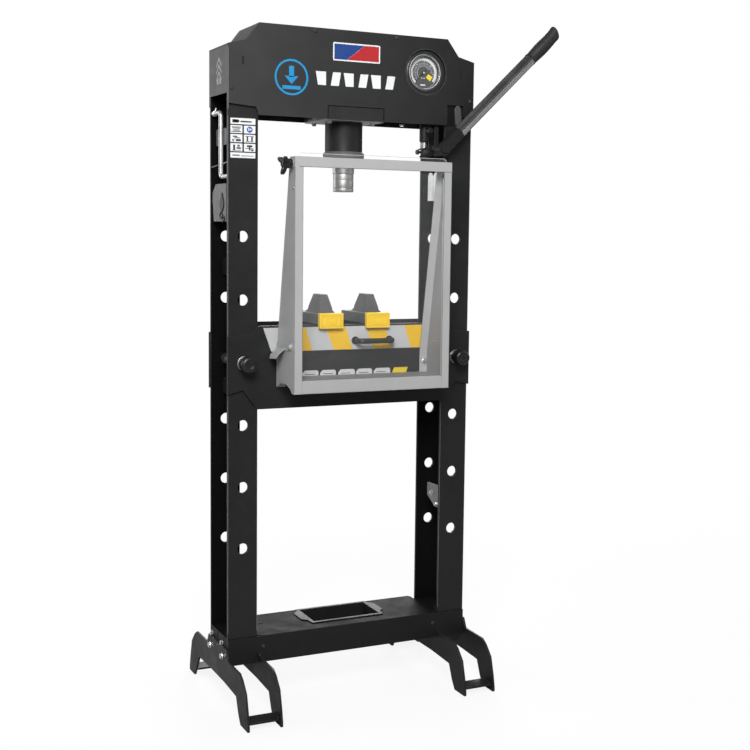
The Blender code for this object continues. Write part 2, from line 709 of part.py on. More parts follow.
NEEDLE = [(-10, -1.6), (33, -0.5), (33, 0.5), (-10, 1.6)]  # (x, z), pointing right
NEEDLE_ANGLE = math.radians(225)  # anticlockwise from the right, seen from the front
needle = combine(
    prism(NEEDLE, "Y", -68.2, -67.4),
    joins=[cylinder("Y", (0, 0), -69.2, -66.2, 4, 16)],
)
turned(needle, -NEEDLE_ANGLE, (0, 0, 0))
bmesh.ops.translate(needle, verts=needle.verts, vec=GAUGE_AT)
add("gauge_needle", needle, RUBBER, (GAUGE_X, -67.8, GAUGE_Z))

# ---- pump -------------------------------------------------------------------------
PUMP_X, PUMP_Y, PUMP_R = 214.0, -49.5, 18
PUMP_AT = (PUMP_X, PUMP_Y, 0)
PLUNGER_R = 7
CROSS_PIN_Z = 1447
PIVOT_X, PIVOT_Z = 241.0, 1452.0
PIVOT_R = 7
LEVER_AT = (PIVOT_X, -104.0, PIVOT_Z)  # where the lever's centre line meets the pivot
# Body, (radius, z): down the outside, then up the bore.
PUMP = [
    (0, 1602), (15, 1602), (PUMP_R, 1599), (PUMP_R, 1536), (13, 1530), (13, 1477),
    (11.5, 1474), (8.6, 1474), (8.6, 1578), (0, 1578),
]
PLUNGER = [(0, 1545), (PLUNGER_R, 1545), (PLUNGER_R, 1440), (0, 1440)]
pump_lug = box(PUMP_X - 30, PUMP_X + 12, -POST_Y, PUMP_Y - 12, 1531, 1571)
add("pump_body", combine(lathe(PUMP, PUMP_AT, "Z", 28), joins=[pump_lug]), BLACK, smooth=True)
add(
    "pump_plunger",
    combine(
        lathe(PLUNGER, PUMP_AT, "Z", 20),
        joins=[cylinder("Y", (PUMP_X, CROSS_PIN_Z), -62.3, -36.7, 4, 14)],
    ),
    STEEL, (PUMP_X, PUMP_Y, CROSS_PIN_Z), smooth=True,
)


def pivot_hole(front=-80):
    """Cutter for the pivot pin, from a front y back past the rear link."""
    return cylinder("Y", (PIVOT_X, PIVOT_Z), front, -20, PIVOT_R + GAP, 16)


# Link plate, (x from the pivot, z), right half from the bottom.
LINK = symmetric([(3, 1441.5), (8, 1445), (8, 1462), (6, 1468), (6, 1560)], middle=PIVOT_X)
add(
    "pump_fulcrum_link",
    combine(
        prism(LINK, "Y", -69.5, -63.5),
        joins=[
            prism(LINK, "Y", -36, -30),
            box(PIVOT_X - 6.5, PIVOT_X + 6.5, -66, -29.5, 1545, 1560.5),
            box(PIVOT_X - 7, PIVOT_X + 20, -POST_Y, -65, 1528, 1561),
        ],
        cuts=[pivot_hole()],
    ),
    BLACK,
)
# Headed pin, (radius, y).
PIVOT_PIN = [
    (0, -125), (9, -125), (10, -123), (10, -120.2), (PIVOT_R, -120.2), (PIVOT_R, -28), (0, -28),
]
add(
    "handle_pivot_pin", lathe(PIVOT_PIN, (PIVOT_X, 0, PIVOT_Z), "Y", 16),
    STEEL, LEVER_AT, smooth=True,
)

# Slotted cheek, (x, z) from the pivot, before it is tilted down to the left.
CHEEK = [(12, -11), (12, 11), (-37, 12), (-37, 8), (-20, 8), (-20, -8), (-37, -8), (-37, -12)]
CHEEK_TILT = math.radians(10.5)


def cheek(y0, y1):
    shape = prism([(PIVOT_X + x, PIVOT_Z + z) for x, z in CHEEK], "Y", y0, y1)
    return turned(shape, -CHEEK_TILT, (PIVOT_X, 0, PIVOT_Z))


add(
    "pump_rocker",
    combine(
        cylinder("Y", (PIVOT_X, PIVOT_Z), -62.6, -37, 13, 20),
        joins=[cheek(-62.3, -58.5), cheek(-40.8, -37.3)],
        cuts=[pivot_hole()],
    ),
    BLACK, LEVER_AT,
)
# (radius, y), from the front.
VALVE_KNOB = [
    (0, -84), (7, -84), (8.5, -82), (8.5, -74), (4, -73), (4, -68.2), (0, -68.2),
]
VALVE_X, VALVE_Z = PUMP_X + 2, 1503
add(
    "release_valve_knob", lathe(VALVE_KNOB, (VALVE_X, 0, VALVE_Z), "Y", 16),
    KNOB, (VALVE_X, -76, VALVE_Z), smooth=True,
)

# ---- handle -----------------------------------------------------------------------
LEVER_ANGLE = math.radians(43.83)  # rise of the lever to the right
LEVER_START, LEVER_END = 71, 470
RIB_R, GROOVE_R, RIBS = 17.2, 16.2, 16
SOCKET_HALF = 13.5


def lever_ring(distance, section):
    """Section of (across, depth) points set square to the lever, at a distance from its pivot."""
    cosine, sine = math.cos(LEVER_ANGLE), math.sin(LEVER_ANGLE)
    x, y, z = LEVER_AT
    return [
        (
            x + distance * cosine - across * sine,
            y + depth,
            z + distance * sine + across * cosine,
        )
        for across, depth in section
    ]


def lever_bar(start, end, section):
    return loft([lever_ring(start, section), lever_ring(end, section)])


socket_square = [
    (-SOCKET_HALF, -SOCKET_HALF), (SOCKET_HALF, -SOCKET_HALF),
    (SOCKET_HALF, SOCKET_HALF), (-SOCKET_HALF, SOCKET_HALF),
]
add(
    "handle_socket",
    combine(
        cylinder("Y", (PIVOT_X, PIVOT_Z), -119.8, -70, 16, 24),
        joins=[lever_bar(6, 70, socket_square), lever_bar(66, 150, circle((0, 0), 14.0, 20))],
        cuts=[pivot_hole(front=-130)],
    ),
    BLACK, LEVER_AT,
)

# One rib and groove: share of the rib pitch, radius.
RIB = ((0.0, RIB_R), (0.45, RIB_R), (0.55, GROOVE_R), (0.95, GROOVE_R))
ribbed = []
for i in range(RIBS):
    for share, radius in RIB:
        angle = math.tau * (i + share) / RIBS
        ribbed.append((radius * math.cos(angle), radius * math.sin(angle)))
add(
    "handle_lever",
    combine(
        lever_bar(LEVER_START, LEVER_END, ribbed),
        cuts=[lever_bar(60, 480, circle((0, 0), 14.4, 20))],
    ),
    LEVER, LEVER_AT,
)


def oval(half_across, half_depth, steps=20, power=3.2):
    """Superellipse; a higher power gives squarer corners."""
    out = []
    for cosine, sine in circle((0, 0), 1.0, steps):
        scale = (abs(cosine) ** power + abs(sine) ** power) ** (-1 / power)
        out.append((half_across * scale * cosine, half_depth * scale * sine))
    return out


# Distance from the pivot, half size across, half depth.
GRIP = [
    (368, 18.6, 18.4), (371, 20.2, 19.4), (392, 20.6, 19.6), (430, 21.6, 19.8),
    (462, 22.6, 20), (478, 22.2, 19.6), (484, 20.4, 18), (487, 17.4, 15),
]
add(
    "handle_grip",
    combine(
        loft([lever_ring(distance, oval(across, depth)) for distance, across, depth in GRIP]),
        cuts=[lever_bar(360, LEVER_END + GAP, circle((0, 0), RIB_R + GAP, 24))],
    ),
    RUBBER, LEVER_AT, smooth=True,
)

# ---- oil tank and hose ------------------------------------------------------------
add(
    "oil_tank",
    combine(
        box(-236, -84, -62, 62, 1552, 1690),
        joins=[box(-237, -83, -POST_Y, POST_Y, 1558, 1562)],
    ),
    BLACK,
)
# The hose leaves the back of the pump and ends at the right of the cylinder.
HOSE_R = 6
HOSE_X, HOSE_Y = 130, 15
HOSE_Z0, HOSE_Z1 = 1585, 1600
hose_path = rounded_path(
    [
        (PUMP_X, PUMP_Y + PUMP_R + GAP, HOSE_Z0), (PUMP_X, HOSE_Y, HOSE_Z0),
        (HOSE_X, HOSE_Y, HOSE_Z0), (HOSE_X, HOSE_Y, HOSE_Z1), (CYL_R + GAP, HOSE_Y, HOSE_Z1),
    ],
    radius=7, steps=3,
)
hose_side = (hose_path[1] - hose_path[0]).normalized().orthogonal()
add("hydraulic_hose", sweep(hose_path, HOSE_R, HOSE_R, 10, hose_side), RUBBER, smooth=True)

# ---- stored items inside the posts ------------------------------------------------
ROD_X, ROD_R = -336, 5.5
rod_path = rounded_path(
    [(ROD_X, 58, 1528), (ROD_X, 4, 1528), (ROD_X, 4, 1366), (ROD_X, -60, 1366)],
    radius=12, steps=5,
)
rod_side = (rod_path[1] - rod_path[0]).normalized().orthogonal()
add("stored_bent_rod", sweep(rod_path, ROD_R, ROD_R, 12, rod_side), ZINC, smooth=True)

# Sheet in the left post, (y, z), with a flange against the rear plate.
TOOL_SHEET = [
    (-46, 1253), (52, 1253), (INNER_Y - 1, 1314), (INNER_Y - 1, 1326), (36, 1348), (-46, 1348),
]
add(
    "tool_bracket",
    combine(
        prism(TOOL_SHEET, "X", -339.5, -337),
        joins=[box(-339, -312, INNER_Y - 2.5, INNER_Y, 1300.5, 1325.5)],
    ),
    GREY,
)

# Sheet in the right post with two upright tongues, (y, z), and a stepped fixing to the rear.
HANGER = [
    (-31, 1319.5), (31.5, 1319.5), (31.5, 1386), (27, 1394), (21, 1397), (12, 1397),
    (6, 1394), (1.4, 1386), (1.4, 1328), (-1.4, 1328), (-1.4, 1386), (-6, 1394),
    (-12, 1397), (-21, 1397), (-27, 1394), (-31, 1386),
]
add(
    "right_post_hanger",
    combine(
        prism(HANGER, "X", 268, 271),
        joins=[
            box(269.5, 290, 28.7, 31.7, 1320.5, 1383),
            box(287.2, 290.2, 30, INNER_Y - 0.2, 1332, 1380),
            box(272, 290, INNER_Y - 3, INNER_Y, 1332.2, 1379.8),
        ],
    ),
    ZINC,
)
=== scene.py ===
# A hydraulic workshop press: two posts on feet, a top beam with the cylinder and ram, a hand pump
# with lever and gauge, a pinned bed with two blocks, and a grey guard with a clear window.
# +X is right, -Y is the front, +Z is up. Shapes are in millimetres from the point on the floor
# midway between the posts; materials, lights and camera are in metres.
import math
from collections import namedtuple

import bmesh
import bpy
from mathutils import Matrix, Vector


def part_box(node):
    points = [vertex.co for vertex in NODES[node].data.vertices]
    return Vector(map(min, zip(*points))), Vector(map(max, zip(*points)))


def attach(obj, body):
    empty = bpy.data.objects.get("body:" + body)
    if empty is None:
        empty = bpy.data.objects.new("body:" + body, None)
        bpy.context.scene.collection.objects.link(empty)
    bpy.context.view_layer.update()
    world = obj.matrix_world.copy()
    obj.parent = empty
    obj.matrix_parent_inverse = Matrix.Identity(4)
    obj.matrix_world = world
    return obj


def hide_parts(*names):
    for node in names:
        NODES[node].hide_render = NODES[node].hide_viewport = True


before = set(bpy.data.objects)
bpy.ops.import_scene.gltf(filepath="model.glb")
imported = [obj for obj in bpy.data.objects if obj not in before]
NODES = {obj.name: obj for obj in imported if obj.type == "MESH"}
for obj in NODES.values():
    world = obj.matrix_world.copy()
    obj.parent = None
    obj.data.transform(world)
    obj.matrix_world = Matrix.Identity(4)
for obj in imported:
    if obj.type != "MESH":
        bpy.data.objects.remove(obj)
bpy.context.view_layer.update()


MM = 0.001
SIDES = (("left", -1), ("right", 1))
LEFT, RIGHT, FRONT, BACK, DOWN = (-1, 0, 0), (1, 0, 0), (0, -1, 0), (0, 1, 0), (0, 0, -1)

low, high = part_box("cylinder_mount_plate")
SHIFT = Vector(((low[0] + high[0]) / 2, (low[1] + high[1]) / 2, 0.0))

# the pump lever leans right from its foot; its material paints a highlight along its lower side
# across the same line
LEVER_ANGLE = math.radians(43.83)
LEVER_X, LEVER_Y, LEVER_Z = 241, -104.0, 1452

Span = namedtuple("Span", "left right front back bottom top")


def span(node):
    """A CAD node's box in millimetres from the middle of the posts."""
    low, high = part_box(node)
    return Span(*((v - o) / MM for a, b, o in zip(low, high, SHIFT) for v in (a, b)))


# ======================================================================================
# Materials
# ======================================================================================
class Graph:
    """A material's node tree, with short calls that make and link nodes."""

    def __init__(self, name):
        self.material = bpy.data.materials.new(name)
        self.material.use_nodes = True
        self.tree = self.material.node_tree
        self.shader = self.tree.nodes["Principled BSDF"]
        self.output = self.tree.nodes["Material Output"]
        self.coords = self.node("ShaderNodeTexCoord").outputs["Object"]

    def link(self, source, target):
        self.tree.links.new(source, target)

    def put(self, socket, value):
        if isinstance(value, bpy.types.NodeSocket):
            self.link(value, socket)
        elif isinstance(value, (tuple, list)) and len(value) == 3 and socket.type == "RGBA":
            socket.default_value = (*value, 1.0)
        else:
            socket.default_value = value

    def node(self, kind, **settings):
        made = self.tree.nodes.new(kind)
        for key, value in settings.items():
            setattr(made, key, value)
        return made

    def math(self, operation, first, second, clamp=False):
        made = self.node("ShaderNodeMath", operation=operation, use_clamp=clamp)
        self.put(made.inputs[0], first)
        self.put(made.inputs[1], second)
        return made.outputs[0]

    def times(self, first, second, clamp=False):
        return self.math("MULTIPLY", first, second, clamp)

    def plus(self, first, second, clamp=False):
        return self.math("ADD", first, second, clamp)

    def weigh(self, *pair):
        """The sum of two (value, weight) entries."""
        return self.plus(*[self.times(value, weight) for value, weight in pair])

    def mapped(self, scale, rotation=(0, 0, 0)):
        made = self.node("ShaderNodeMapping")
        self.link(self.coords, made.inputs["Vector"])
        made.inputs["Scale"].default_value = scale
        made.inputs["Rotation"].default_value = rotation
        return made.outputs["Vector"]

    def noise(self, scale, detail=4.0, rough=0.5, vector=None, distortion=0.0):
        made = self.node("ShaderNodeTexNoise")
        self.link(vector or self.coords, made.inputs["Vector"])
        made.inputs["Scale"].default_value = scale
        made.inputs["Detail"].default_value = detail
        made.inputs["Roughness"].default_value = rough
        made.inputs["Distortion"].default_value = distortion
        return made.outputs["Fac"]

    def voronoi(self, scale, output="Distance"):
        made = self.node("ShaderNodeTexVoronoi")
        self.link(self.coords, made.inputs["Vector"])
        made.inputs["Scale"].default_value = scale
        return made.outputs[output]

    def ramp(self, value, between, out=(0.0, 1.0), smooth=False):
        """Map the range between onto the range out, clamped."""
        kind = "SMOOTHSTEP" if smooth else "LINEAR"
        made = self.node("ShaderNodeMapRange", interpolation_type=kind, clamp=True)
        self.put(made.inputs["Value"], value)
        for key, limit in zip(("From Min", "From Max", "To Min", "To Max"), (*between, *out)):
            made.inputs[key].default_value = limit
        return made.outputs["Result"]

    def mix(self, factor, first, second):
        made = self.node("ShaderNodeMix", data_type="RGBA")
        self.put(made.inputs["Factor"], factor)
        self.put(made.inputs[6], first)
        self.put(made.inputs[7], second)
        return made.outputs[2]

    def shades(self, value, colour, between, first, last):
        """The colour brightened by first at the low end of the range and by last at the high."""
        return self.mix(self.ramp(value, between), tint(colour, first), tint(colour, last))

    def bump(self, height, strength, distance):
        made = self.node("ShaderNodeBump")
        made.inputs["Strength"].default_value = strength
        made.inputs["Distance"].default_value = distance
        self.link(height, made.inputs["Height"])
        return made.outputs["Normal"]

    def normal(self):
        return self.node("ShaderNodeNewGeometry").outputs["Normal"]

    def split(self, vector):
        made = self.node("ShaderNodeSeparateXYZ")
        self.link(vector, made.inputs[0])
        return made.outputs

    def edge(self, radius, between=(0.015, 0.16)):
        """0 on flat faces, up to 1 on outer and inner edges."""
        bevel = self.node("ShaderNodeBevel", samples=4)
        bevel.inputs["Radius"].default_value = radius
        dot = self.node("ShaderNodeVectorMath", operation="DOT_PRODUCT")
        self.link(bevel.outputs["Normal"], dot.inputs[0])
        self.link(self.normal(), dot.inputs[1])
        return self.ramp(self.math("SUBTRACT", 1.0, dot.outputs["Value"]), between)

    def upward(self):
        return self.ramp(self.split(self.normal())["Z"], between=(0.6, 0.95))

    def camera_ray(self):
        return self.node("ShaderNodeLightPath").outputs["Is Camera Ray"]

    def set(self, **values):
        for key, value in values.items():
            self.put(self.shader.inputs[key.replace("_", " ")], value)


def tint(colour, factor):
    return tuple(min(1.0, c * factor) for c in colour)


DUST = (0.34, 0.33, 0.31)


def paint(name, colour, rough=0.4, variation=0.18, peel=620.0, peel_strength=0.10, rubbed_and_lit_edges=0.5,
          rubbed_and_lit_edge_colour=(0.30, 0.29, 0.28), dust=0.10, edge_radius=0.0011, gloss=0.30,
          inside=False, light_falloff=None, guard=False, shaded_top=False):
    """Painted metal: orange peel, cloudy tone, smudges, rubbed edges that double as a painted edge
    highlight, dust on top, and optional painted shade and painted light falloff.
    """
    mat = Graph(name)
    cloud = mat.noise(scale=5.5, detail=6.0, rough=0.6)
    mottle = mat.noise(scale=46.0, rough=0.65)
    tone = mat.weigh((cloud, 0.65), (mottle, 0.35))
    base = mat.shades(tone, colour, (0.34, 0.66), first=1 - variation, last=1 + variation)
    if guard:
        # painted shade: darker colour on faces looking up and on the inner face of the right wing
        turned = mat.split(mat.normal())
        where = mat.split(mat.coords)
        faces_left = mat.ramp(turned["X"], between=(-0.8, -0.4), out=(1.0, 0.0))
        inner = mat.times(faces_left, mat.ramp(where["X"], between=(-0.10, 0.0)))
        top = mat.ramp(turned["Z"], between=(0.6, 0.9))
        dull = mat.math("MAXIMUM", mat.times(inner, 0.8), top)
        base = mat.mix(dull, base, tint(colour, 0.50))
    if light_falloff:
        # painted light falloff: paler towards the left end, darker towards the right
        base = mat.shades(mat.split(mat.coords)["X"], colour, **light_falloff)
    # rubbed edges, broken up by noise; the paler edge colour is also a painted highlight, standing
    # in for the light the edges catch
    scuff = mat.ramp(mat.noise(scale=95.0, detail=6.0, rough=0.7), between=(0.46, 0.70))
    worn = mat.times(mat.times(mat.edge(edge_radius), scuff), rubbed_and_lit_edges, clamp=True)
    base = mat.mix(worn, base, rubbed_and_lit_edge_colour)
    # fine hair scratches in two directions
    along_z = mat.mapped(scale=(34.0, 34.0, 1.6), rotation=(0.35, 0.0, 0.2))
    one = mat.noise(scale=30.0, detail=3.0, vector=along_z)
    along_x = mat.mapped(scale=(1.8, 36.0, 36.0), rotation=(0.0, 0.2, 0.5))
    two = mat.noise(scale=26.0, detail=3.0, vector=along_x)
    hair = mat.math("MAXIMUM", mat.ramp(one, (0.715, 0.76)), mat.ramp(two, (0.73, 0.775)))
    base = mat.mix(mat.times(hair, 0.35), base, tint(colour, 2.2))
    # dust that settles on faces looking up
    patches = mat.noise(scale=38.0, detail=5.0, rough=0.7)
    settled = mat.times(mat.upward(), mat.ramp(patches, between=(0.35, 0.8), out=(0.2, 1.0)))
    base = mat.mix(mat.times(settled, dust), base, DUST)
    smudge = mat.noise(scale=13.0, detail=5.0, rough=0.62, distortion=0.6)
    smudge = mat.ramp(smudge, between=(0.3, 0.7), out=(rough - 0.07, rough + 0.08))
    roughness = mat.plus(smudge, mat.times(mat.plus(settled, worn), 0.12))
    skin = mat.noise(scale=peel, detail=2.0)
    grain = mat.noise(scale=peel * 3.1, detail=2.0)
    height = mat.plus(skin, mat.times(grain, 0.25))
    mat.set(
        Base_Color=base, Roughness=roughness, Metallic=0.0,
        Normal=mat.bump(height, peel_strength, distance=0.0006), Specular_IOR_Level=gloss,
    )
    if inside:
        # painted shade: near-black and less glossy on the face turned to the front, the inside of
        # the post
        outer = mat.ramp(mat.split(mat.normal())["Y"], between=(-0.75, -0.35))
        matt = mat.mix(0.75, base, (0.0015, 0.0015, 0.0016))
        shine = mat.times(mat.plus(outer, 0.12, clamp=True), gloss)
        mat.set(Base_Color=mat.mix(outer, matt, base), Specular_IOR_Level=shine)
    if shaded_top:
        # painted shade: the face that looks up is darker and less glossy
        top = mat.upward()
        shine = mat.times(mat.math("SUBTRACT", 1.0, mat.times(top, 0.72)), gloss)
        mat.set(Base_Color=mat.mix(top, base, tint(colour, 0.5)), Specular_IOR_Level=shine)
    return mat.material


def steel(name, colour, rough, axis="Z", ring=1500.0, ring_strength=0.05, stain=0.12):
    """Ground bright steel: fine turning lines round an axis, faint oil staining."""
    mat = Graph(name)
    stretch = tuple(1.0 if each == axis else 0.02 for each in "XYZ")
    lines = mat.noise(scale=ring, detail=3.0, rough=0.6, vector=mat.mapped(stretch))
    oil = mat.noise(scale=24.0, detail=6.0, rough=0.65, distortion=0.8)
    stained = mat.times(mat.ramp(oil, between=(0.45, 0.75)), stain)
    base = mat.mix(stained, colour, (0.33, 0.29, 0.24))
    rub = mat.ramp(mat.noise(scale=140.0, rough=0.6), between=(0.4, 0.8), out=(0.0, 0.10))
    gloss = mat.ramp(oil, between=(0.3, 0.7), out=(rough - 0.04, rough + 0.07))
    mat.set(
        Base_Color=base, Roughness=mat.plus(gloss, rub), Metallic=1.0,
        Normal=mat.bump(lines, ring_strength, distance=0.0004),
    )
    return mat.material


def zinc(name, colour, rough, dark=0.72):
    """Electroplated zinc: cloudy grey, small crystal patches, dull spots and worn edges."""
    mat = Graph(name)
    grey = mat.node("ShaderNodeRGBToBW")
    mat.link(mat.voronoi(scale=420.0, output="Color"), grey.inputs[0])
    cloud = mat.noise(scale=30.0, detail=6.0, rough=0.65, distortion=0.4)
    tone = mat.weigh((grey.outputs[0], 0.35), (cloud, 0.65))
    base = mat.shades(tone, colour, between=(0.3, 0.7), first=dark, last=1.12)
    base = mat.mix(mat.times(mat.edge(radius=0.0008), 0.5), base, (0.82, 0.82, 0.80))
    spots = mat.noise(scale=210.0, detail=5.0, rough=0.7)
    spots = mat.ramp(spots, between=(0.62, 0.72), out=(0.0, 0.18))
    gloss = mat.ramp(cloud, between=(0.3, 0.7), out=(rough - 0.06, rough + 0.09))
    skin = mat.noise(scale=900.0, detail=3.0, rough=0.6)
    mat.set(
        Base_Color=base, Roughness=mat.plus(gloss, spots), Metallic=0.92,
        Normal=mat.bump(skin, strength=0.10, distance=0.0003),
    )
    return mat.material


def moulded(name, colour, rough, grain=900.0, strength=0.12):
    """Moulded plastic or rubber with a fine pebbled skin."""
    mat = Graph(name)
    tone = mat.noise(scale=26.0, detail=5.0, rough=0.6)
    base = mat.shades(tone, colour, between=(0.35, 0.65), first=0.82, last=1.22)
    edge = mat.edge(radius=0.0014, between=(0.02, 0.22))
    scuff = mat.ramp(mat.noise(scale=120.0, detail=5.0, rough=0.7), between=(0.42, 0.68))
    base = mat.mix(mat.times(mat.times(edge, scuff), 0.25), base, (0.10, 0.10, 0.10))
    dots = mat.voronoi(scale=grain)
    skin = mat.weigh((dots, 0.6), (mat.noise(scale=grain * 1.7, detail=3.0), 0.4))
    smudge = mat.noise(scale=40.0, rough=0.6)
    mat.set(
        Base_Color=base,
        Roughness=mat.ramp(smudge, between=(0.3, 0.7), out=(rough - 0.06, rough + 0.08)),
        Normal=mat.bump(skin, strength, distance=0.0004),
    )
    return mat.material


def cast(name, colour, rough):
    """Sand-cast iron under thin paint: rough skin, pits, rubbed high edges."""
    mat = Graph(name)
    lump = mat.noise(scale=120.0, detail=6.0, rough=0.65)
    pits = mat.ramp(mat.voronoi(scale=230.0), between=(0.0, 0.22))
    skin = mat.noise(scale=900.0, rough=0.7)
    height = mat.plus(mat.times(lump, 0.9), mat.weigh((pits, 0.35), (skin, 0.4)))
    tone = mat.noise(scale=22.0, detail=6.0, rough=0.6)
    base = mat.shades(tone, colour, between=(0.35, 0.65), first=0.78, last=1.25)
    edge = mat.edge(radius=0.0022, between=(0.01, 0.2))
    scuff = mat.ramp(mat.noise(scale=85.0, detail=6.0, rough=0.75), between=(0.40, 0.62))
    base = mat.mix(mat.times(mat.times(edge, scuff), 0.55), base, (0.26, 0.25, 0.24))
    base = mat.mix(mat.times(mat.upward(), 0.16), base, DUST)
    smudge = mat.noise(scale=60.0)
    mat.set(
        Base_Color=base,
        Roughness=mat.ramp(smudge, between=(0.3, 0.7), out=(rough - 0.08, rough + 0.1)),
        Normal=mat.bump(height, strength=0.42, distance=0.0009),
    )
    return mat.material


def film(name, colour, rough=0.38):
    """Printed vinyl: soft gloss, faint air bubbles and lifted grain."""
    mat = Graph(name)
    tone = mat.noise(scale=16.0, detail=6.0, rough=0.6)
    base = mat.shades(tone, colour, between=(0.3, 0.7), first=0.93, last=1.05)
    specks = mat.ramp(mat.noise(scale=320.0, rough=0.7), between=(0.70, 0.78), out=(0.0, 0.30))
    base = mat.mix(specks, base, tint(colour, 0.55))
    bubbles = mat.ramp(mat.voronoi(scale=90.0), between=(0.0, 0.12), out=(1.0, 0.0), smooth=True)
    height = mat.weigh((bubbles, 0.35), (mat.noise(scale=700.0, detail=3.0), 0.5))
    smudge = mat.noise(scale=22.0)
    mat.set(
        Base_Color=base,
        Roughness=mat.ramp(smudge, between=(0.3, 0.7), out=(rough - 0.06, rough + 0.08)),
        Normal=mat.bump(height, strength=0.10, distance=0.0003),
    )
    return mat.material


def clear(name, haze, sheen=0.5):
    """Clear sheet: see-through, sheen at low angles, faint haze and wiping marks."""
    mat = Graph(name)
    mat.tree.nodes.remove(mat.shader)
    see = mat.node("ShaderNodeBsdfTransparent")
    milky = mat.node("ShaderNodeBsdfDiffuse")
    milky.inputs["Color"].default_value = (0.90, 0.91, 0.92, 1.0)
    gloss = mat.node("ShaderNodeBsdfGlossy")
    gloss.inputs["Roughness"].default_value = 0.07
    wiping = mat.mapped(scale=(1.0, 1.0, 3.5), rotation=(0.0, 0.5, 0.0))
    wipe = mat.noise(scale=9.0, detail=6.0, rough=0.65, vector=wiping, distortion=1.2)
    scratching = mat.mapped(scale=(30.0, 1.0, 2.0), rotation=(0.0, 0.7, 0.0))
    hair = mat.noise(scale=34.0, detail=3.0, vector=scratching)
    hair = mat.ramp(hair, between=(0.72, 0.77), out=(0.0, haze * 0.7))
    wipe = mat.ramp(wipe, between=(0.35, 0.75), out=(haze * 0.8, haze * 1.25))
    body = mat.node("ShaderNodeMixShader")
    mat.put(body.inputs[0], mat.plus(wipe, hair))
    mat.link(see.outputs[0], body.inputs[1])
    mat.link(milky.outputs[0], body.inputs[2])
    fresnel = mat.node("ShaderNodeFresnel")
    fresnel.inputs["IOR"].default_value = 1.46
    level = mat.times(fresnel.outputs[0], sheen)
    tone = mat.node("ShaderNodeCombineColor")
    for i in range(3):
        mat.link(level, tone.inputs[i])
    mat.link(tone.outputs[0], gloss.inputs["Color"])
    total = mat.node("ShaderNodeAddShader")
    mat.link(body.outputs[0], total.inputs[0])
    mat.link(gloss.outputs[0], total.inputs[1])
    mat.link(total.outputs[0], mat.output.inputs["Surface"])
    return mat.material


def lever_metal(name):
    """Dark lacquered tube with a painted highlight along its lower side, and rubbed rib tops."""
    mat = Graph(name)
    sine, cosine = math.sin(LEVER_ANGLE), math.cos(LEVER_ANGLE)
    across = mat.node("ShaderNodeVectorMath", operation="DOT_PRODUCT")
    mat.link(mat.coords, across.inputs[0])
    across.inputs[1].default_value = (-sine, 0.0, cosine)
    middle = -sine * (LEVER_X * MM + SHIFT.x) + cosine * LEVER_Z * MM
    offset = mat.math("SUBTRACT", across.outputs["Value"], middle)
    # painted highlight: paler along the lower side of the tube
    lower = mat.ramp(offset, between=(-0.010, 0.007), out=(1.0, 0.0), smooth=True)
    cloud = mat.noise(scale=14.0, detail=5.0, rough=0.6)
    patch = mat.ramp(cloud, between=(0.35, 0.65))
    dark = mat.mix(patch, (0.055, 0.055, 0.057), (0.085, 0.085, 0.087))
    base = mat.mix(lower, dark, (0.36, 0.36, 0.365))
    edge = mat.edge(radius=0.0006, between=(0.03, 0.3))
    base = mat.mix(mat.times(edge, 0.35), base, (0.40, 0.40, 0.40))
    mat.set(
        Base_Color=base, Roughness=mat.ramp(cloud, between=(0.3, 0.7), out=(0.32, 0.42)),
        Metallic=0.6,
        Normal=mat.bump(mat.noise(scale=700.0, detail=3.0), strength=0.03, distance=0.0002),
    )
    return mat.material


COAT = (0.0125, 0.0127, 0.0132)
BLACK = paint("black_powder_coat", COAT, rough=0.42, rubbed_and_lit_edges=0.34, dust=0.03)
# a paler copy of the black coat as painted light on the beam front, with a painted light falloff
# from left to right
LIT_BEAM_BLACK = paint(
    "beam_coat_painted_light", (0.0290, 0.0292, 0.0298), rough=0.44, rubbed_and_lit_edges=0.30, dust=0.05,
    light_falloff=dict(between=(-0.42, 0.20), first=1.12, last=0.42),
)
# a paler copy of the black coat as painted light on the side covers and the beam top cover
LIT_COVER_BLACK = paint("cover_coat_painted_light", (0.060, 0.0605, 0.061), rough=0.44, rubbed_and_lit_edges=0.30, dust=0.05)
# rear post plates: painted shade on their front face, inside the posts
REAR_BLACK = paint("rear_plate_coat", COAT, rough=0.44, rubbed_and_lit_edges=0.30, dust=0.04, inside=True)
# base channel: painted shade on its top face
BLACK_SHEET = paint(
    "black_sheet_coat", (0.0105, 0.0107, 0.0110), rough=0.50, rubbed_and_lit_edges=0.30, dust=0.01, peel=760.0,
    gloss=0.22, shaded_top=True,
)
GLOSS_BLACK = paint(
    "black_cylinder_coat", (0.0125, 0.0125, 0.013), rough=0.50, rubbed_and_lit_edges=0.25, dust=0.04, peel=420.0,
    peel_strength=0.05, gloss=0.24,
)
# guard grey, with painted shade on its top faces and on the right wing's inner face
GREY = paint(
    "guard_grey_paint", (0.375, 0.377, 0.377), rough=0.42, variation=0.05, peel=700.0,
    rubbed_and_lit_edges=0.45, rubbed_and_lit_edge_colour=(0.60, 0.60, 0.59), dust=0.0, gloss=0.4, guard=True,
)
YELLOW = paint(
    "cap_yellow_paint", (0.80, 0.530, 0.012), variation=0.08, peel=520.0, peel_strength=0.16,
    rubbed_and_lit_edges=0.45, rubbed_and_lit_edge_colour=(0.32, 0.22, 0.06), dust=0.05,
)
CHROME = steel("chromed_ram", (0.46, 0.46, 0.455), rough=0.34, ring_strength=0.012, stain=0.05)
GROUND = steel(
    "ground_nose", (0.42, 0.42, 0.415), rough=0.40, ring=1100.0, ring_strength=0.02, stain=0.10
)
PIN_STEEL = steel("ground_pin", (0.45, 0.45, 0.445), rough=0.30, axis="Y", ring_strength=0.02)
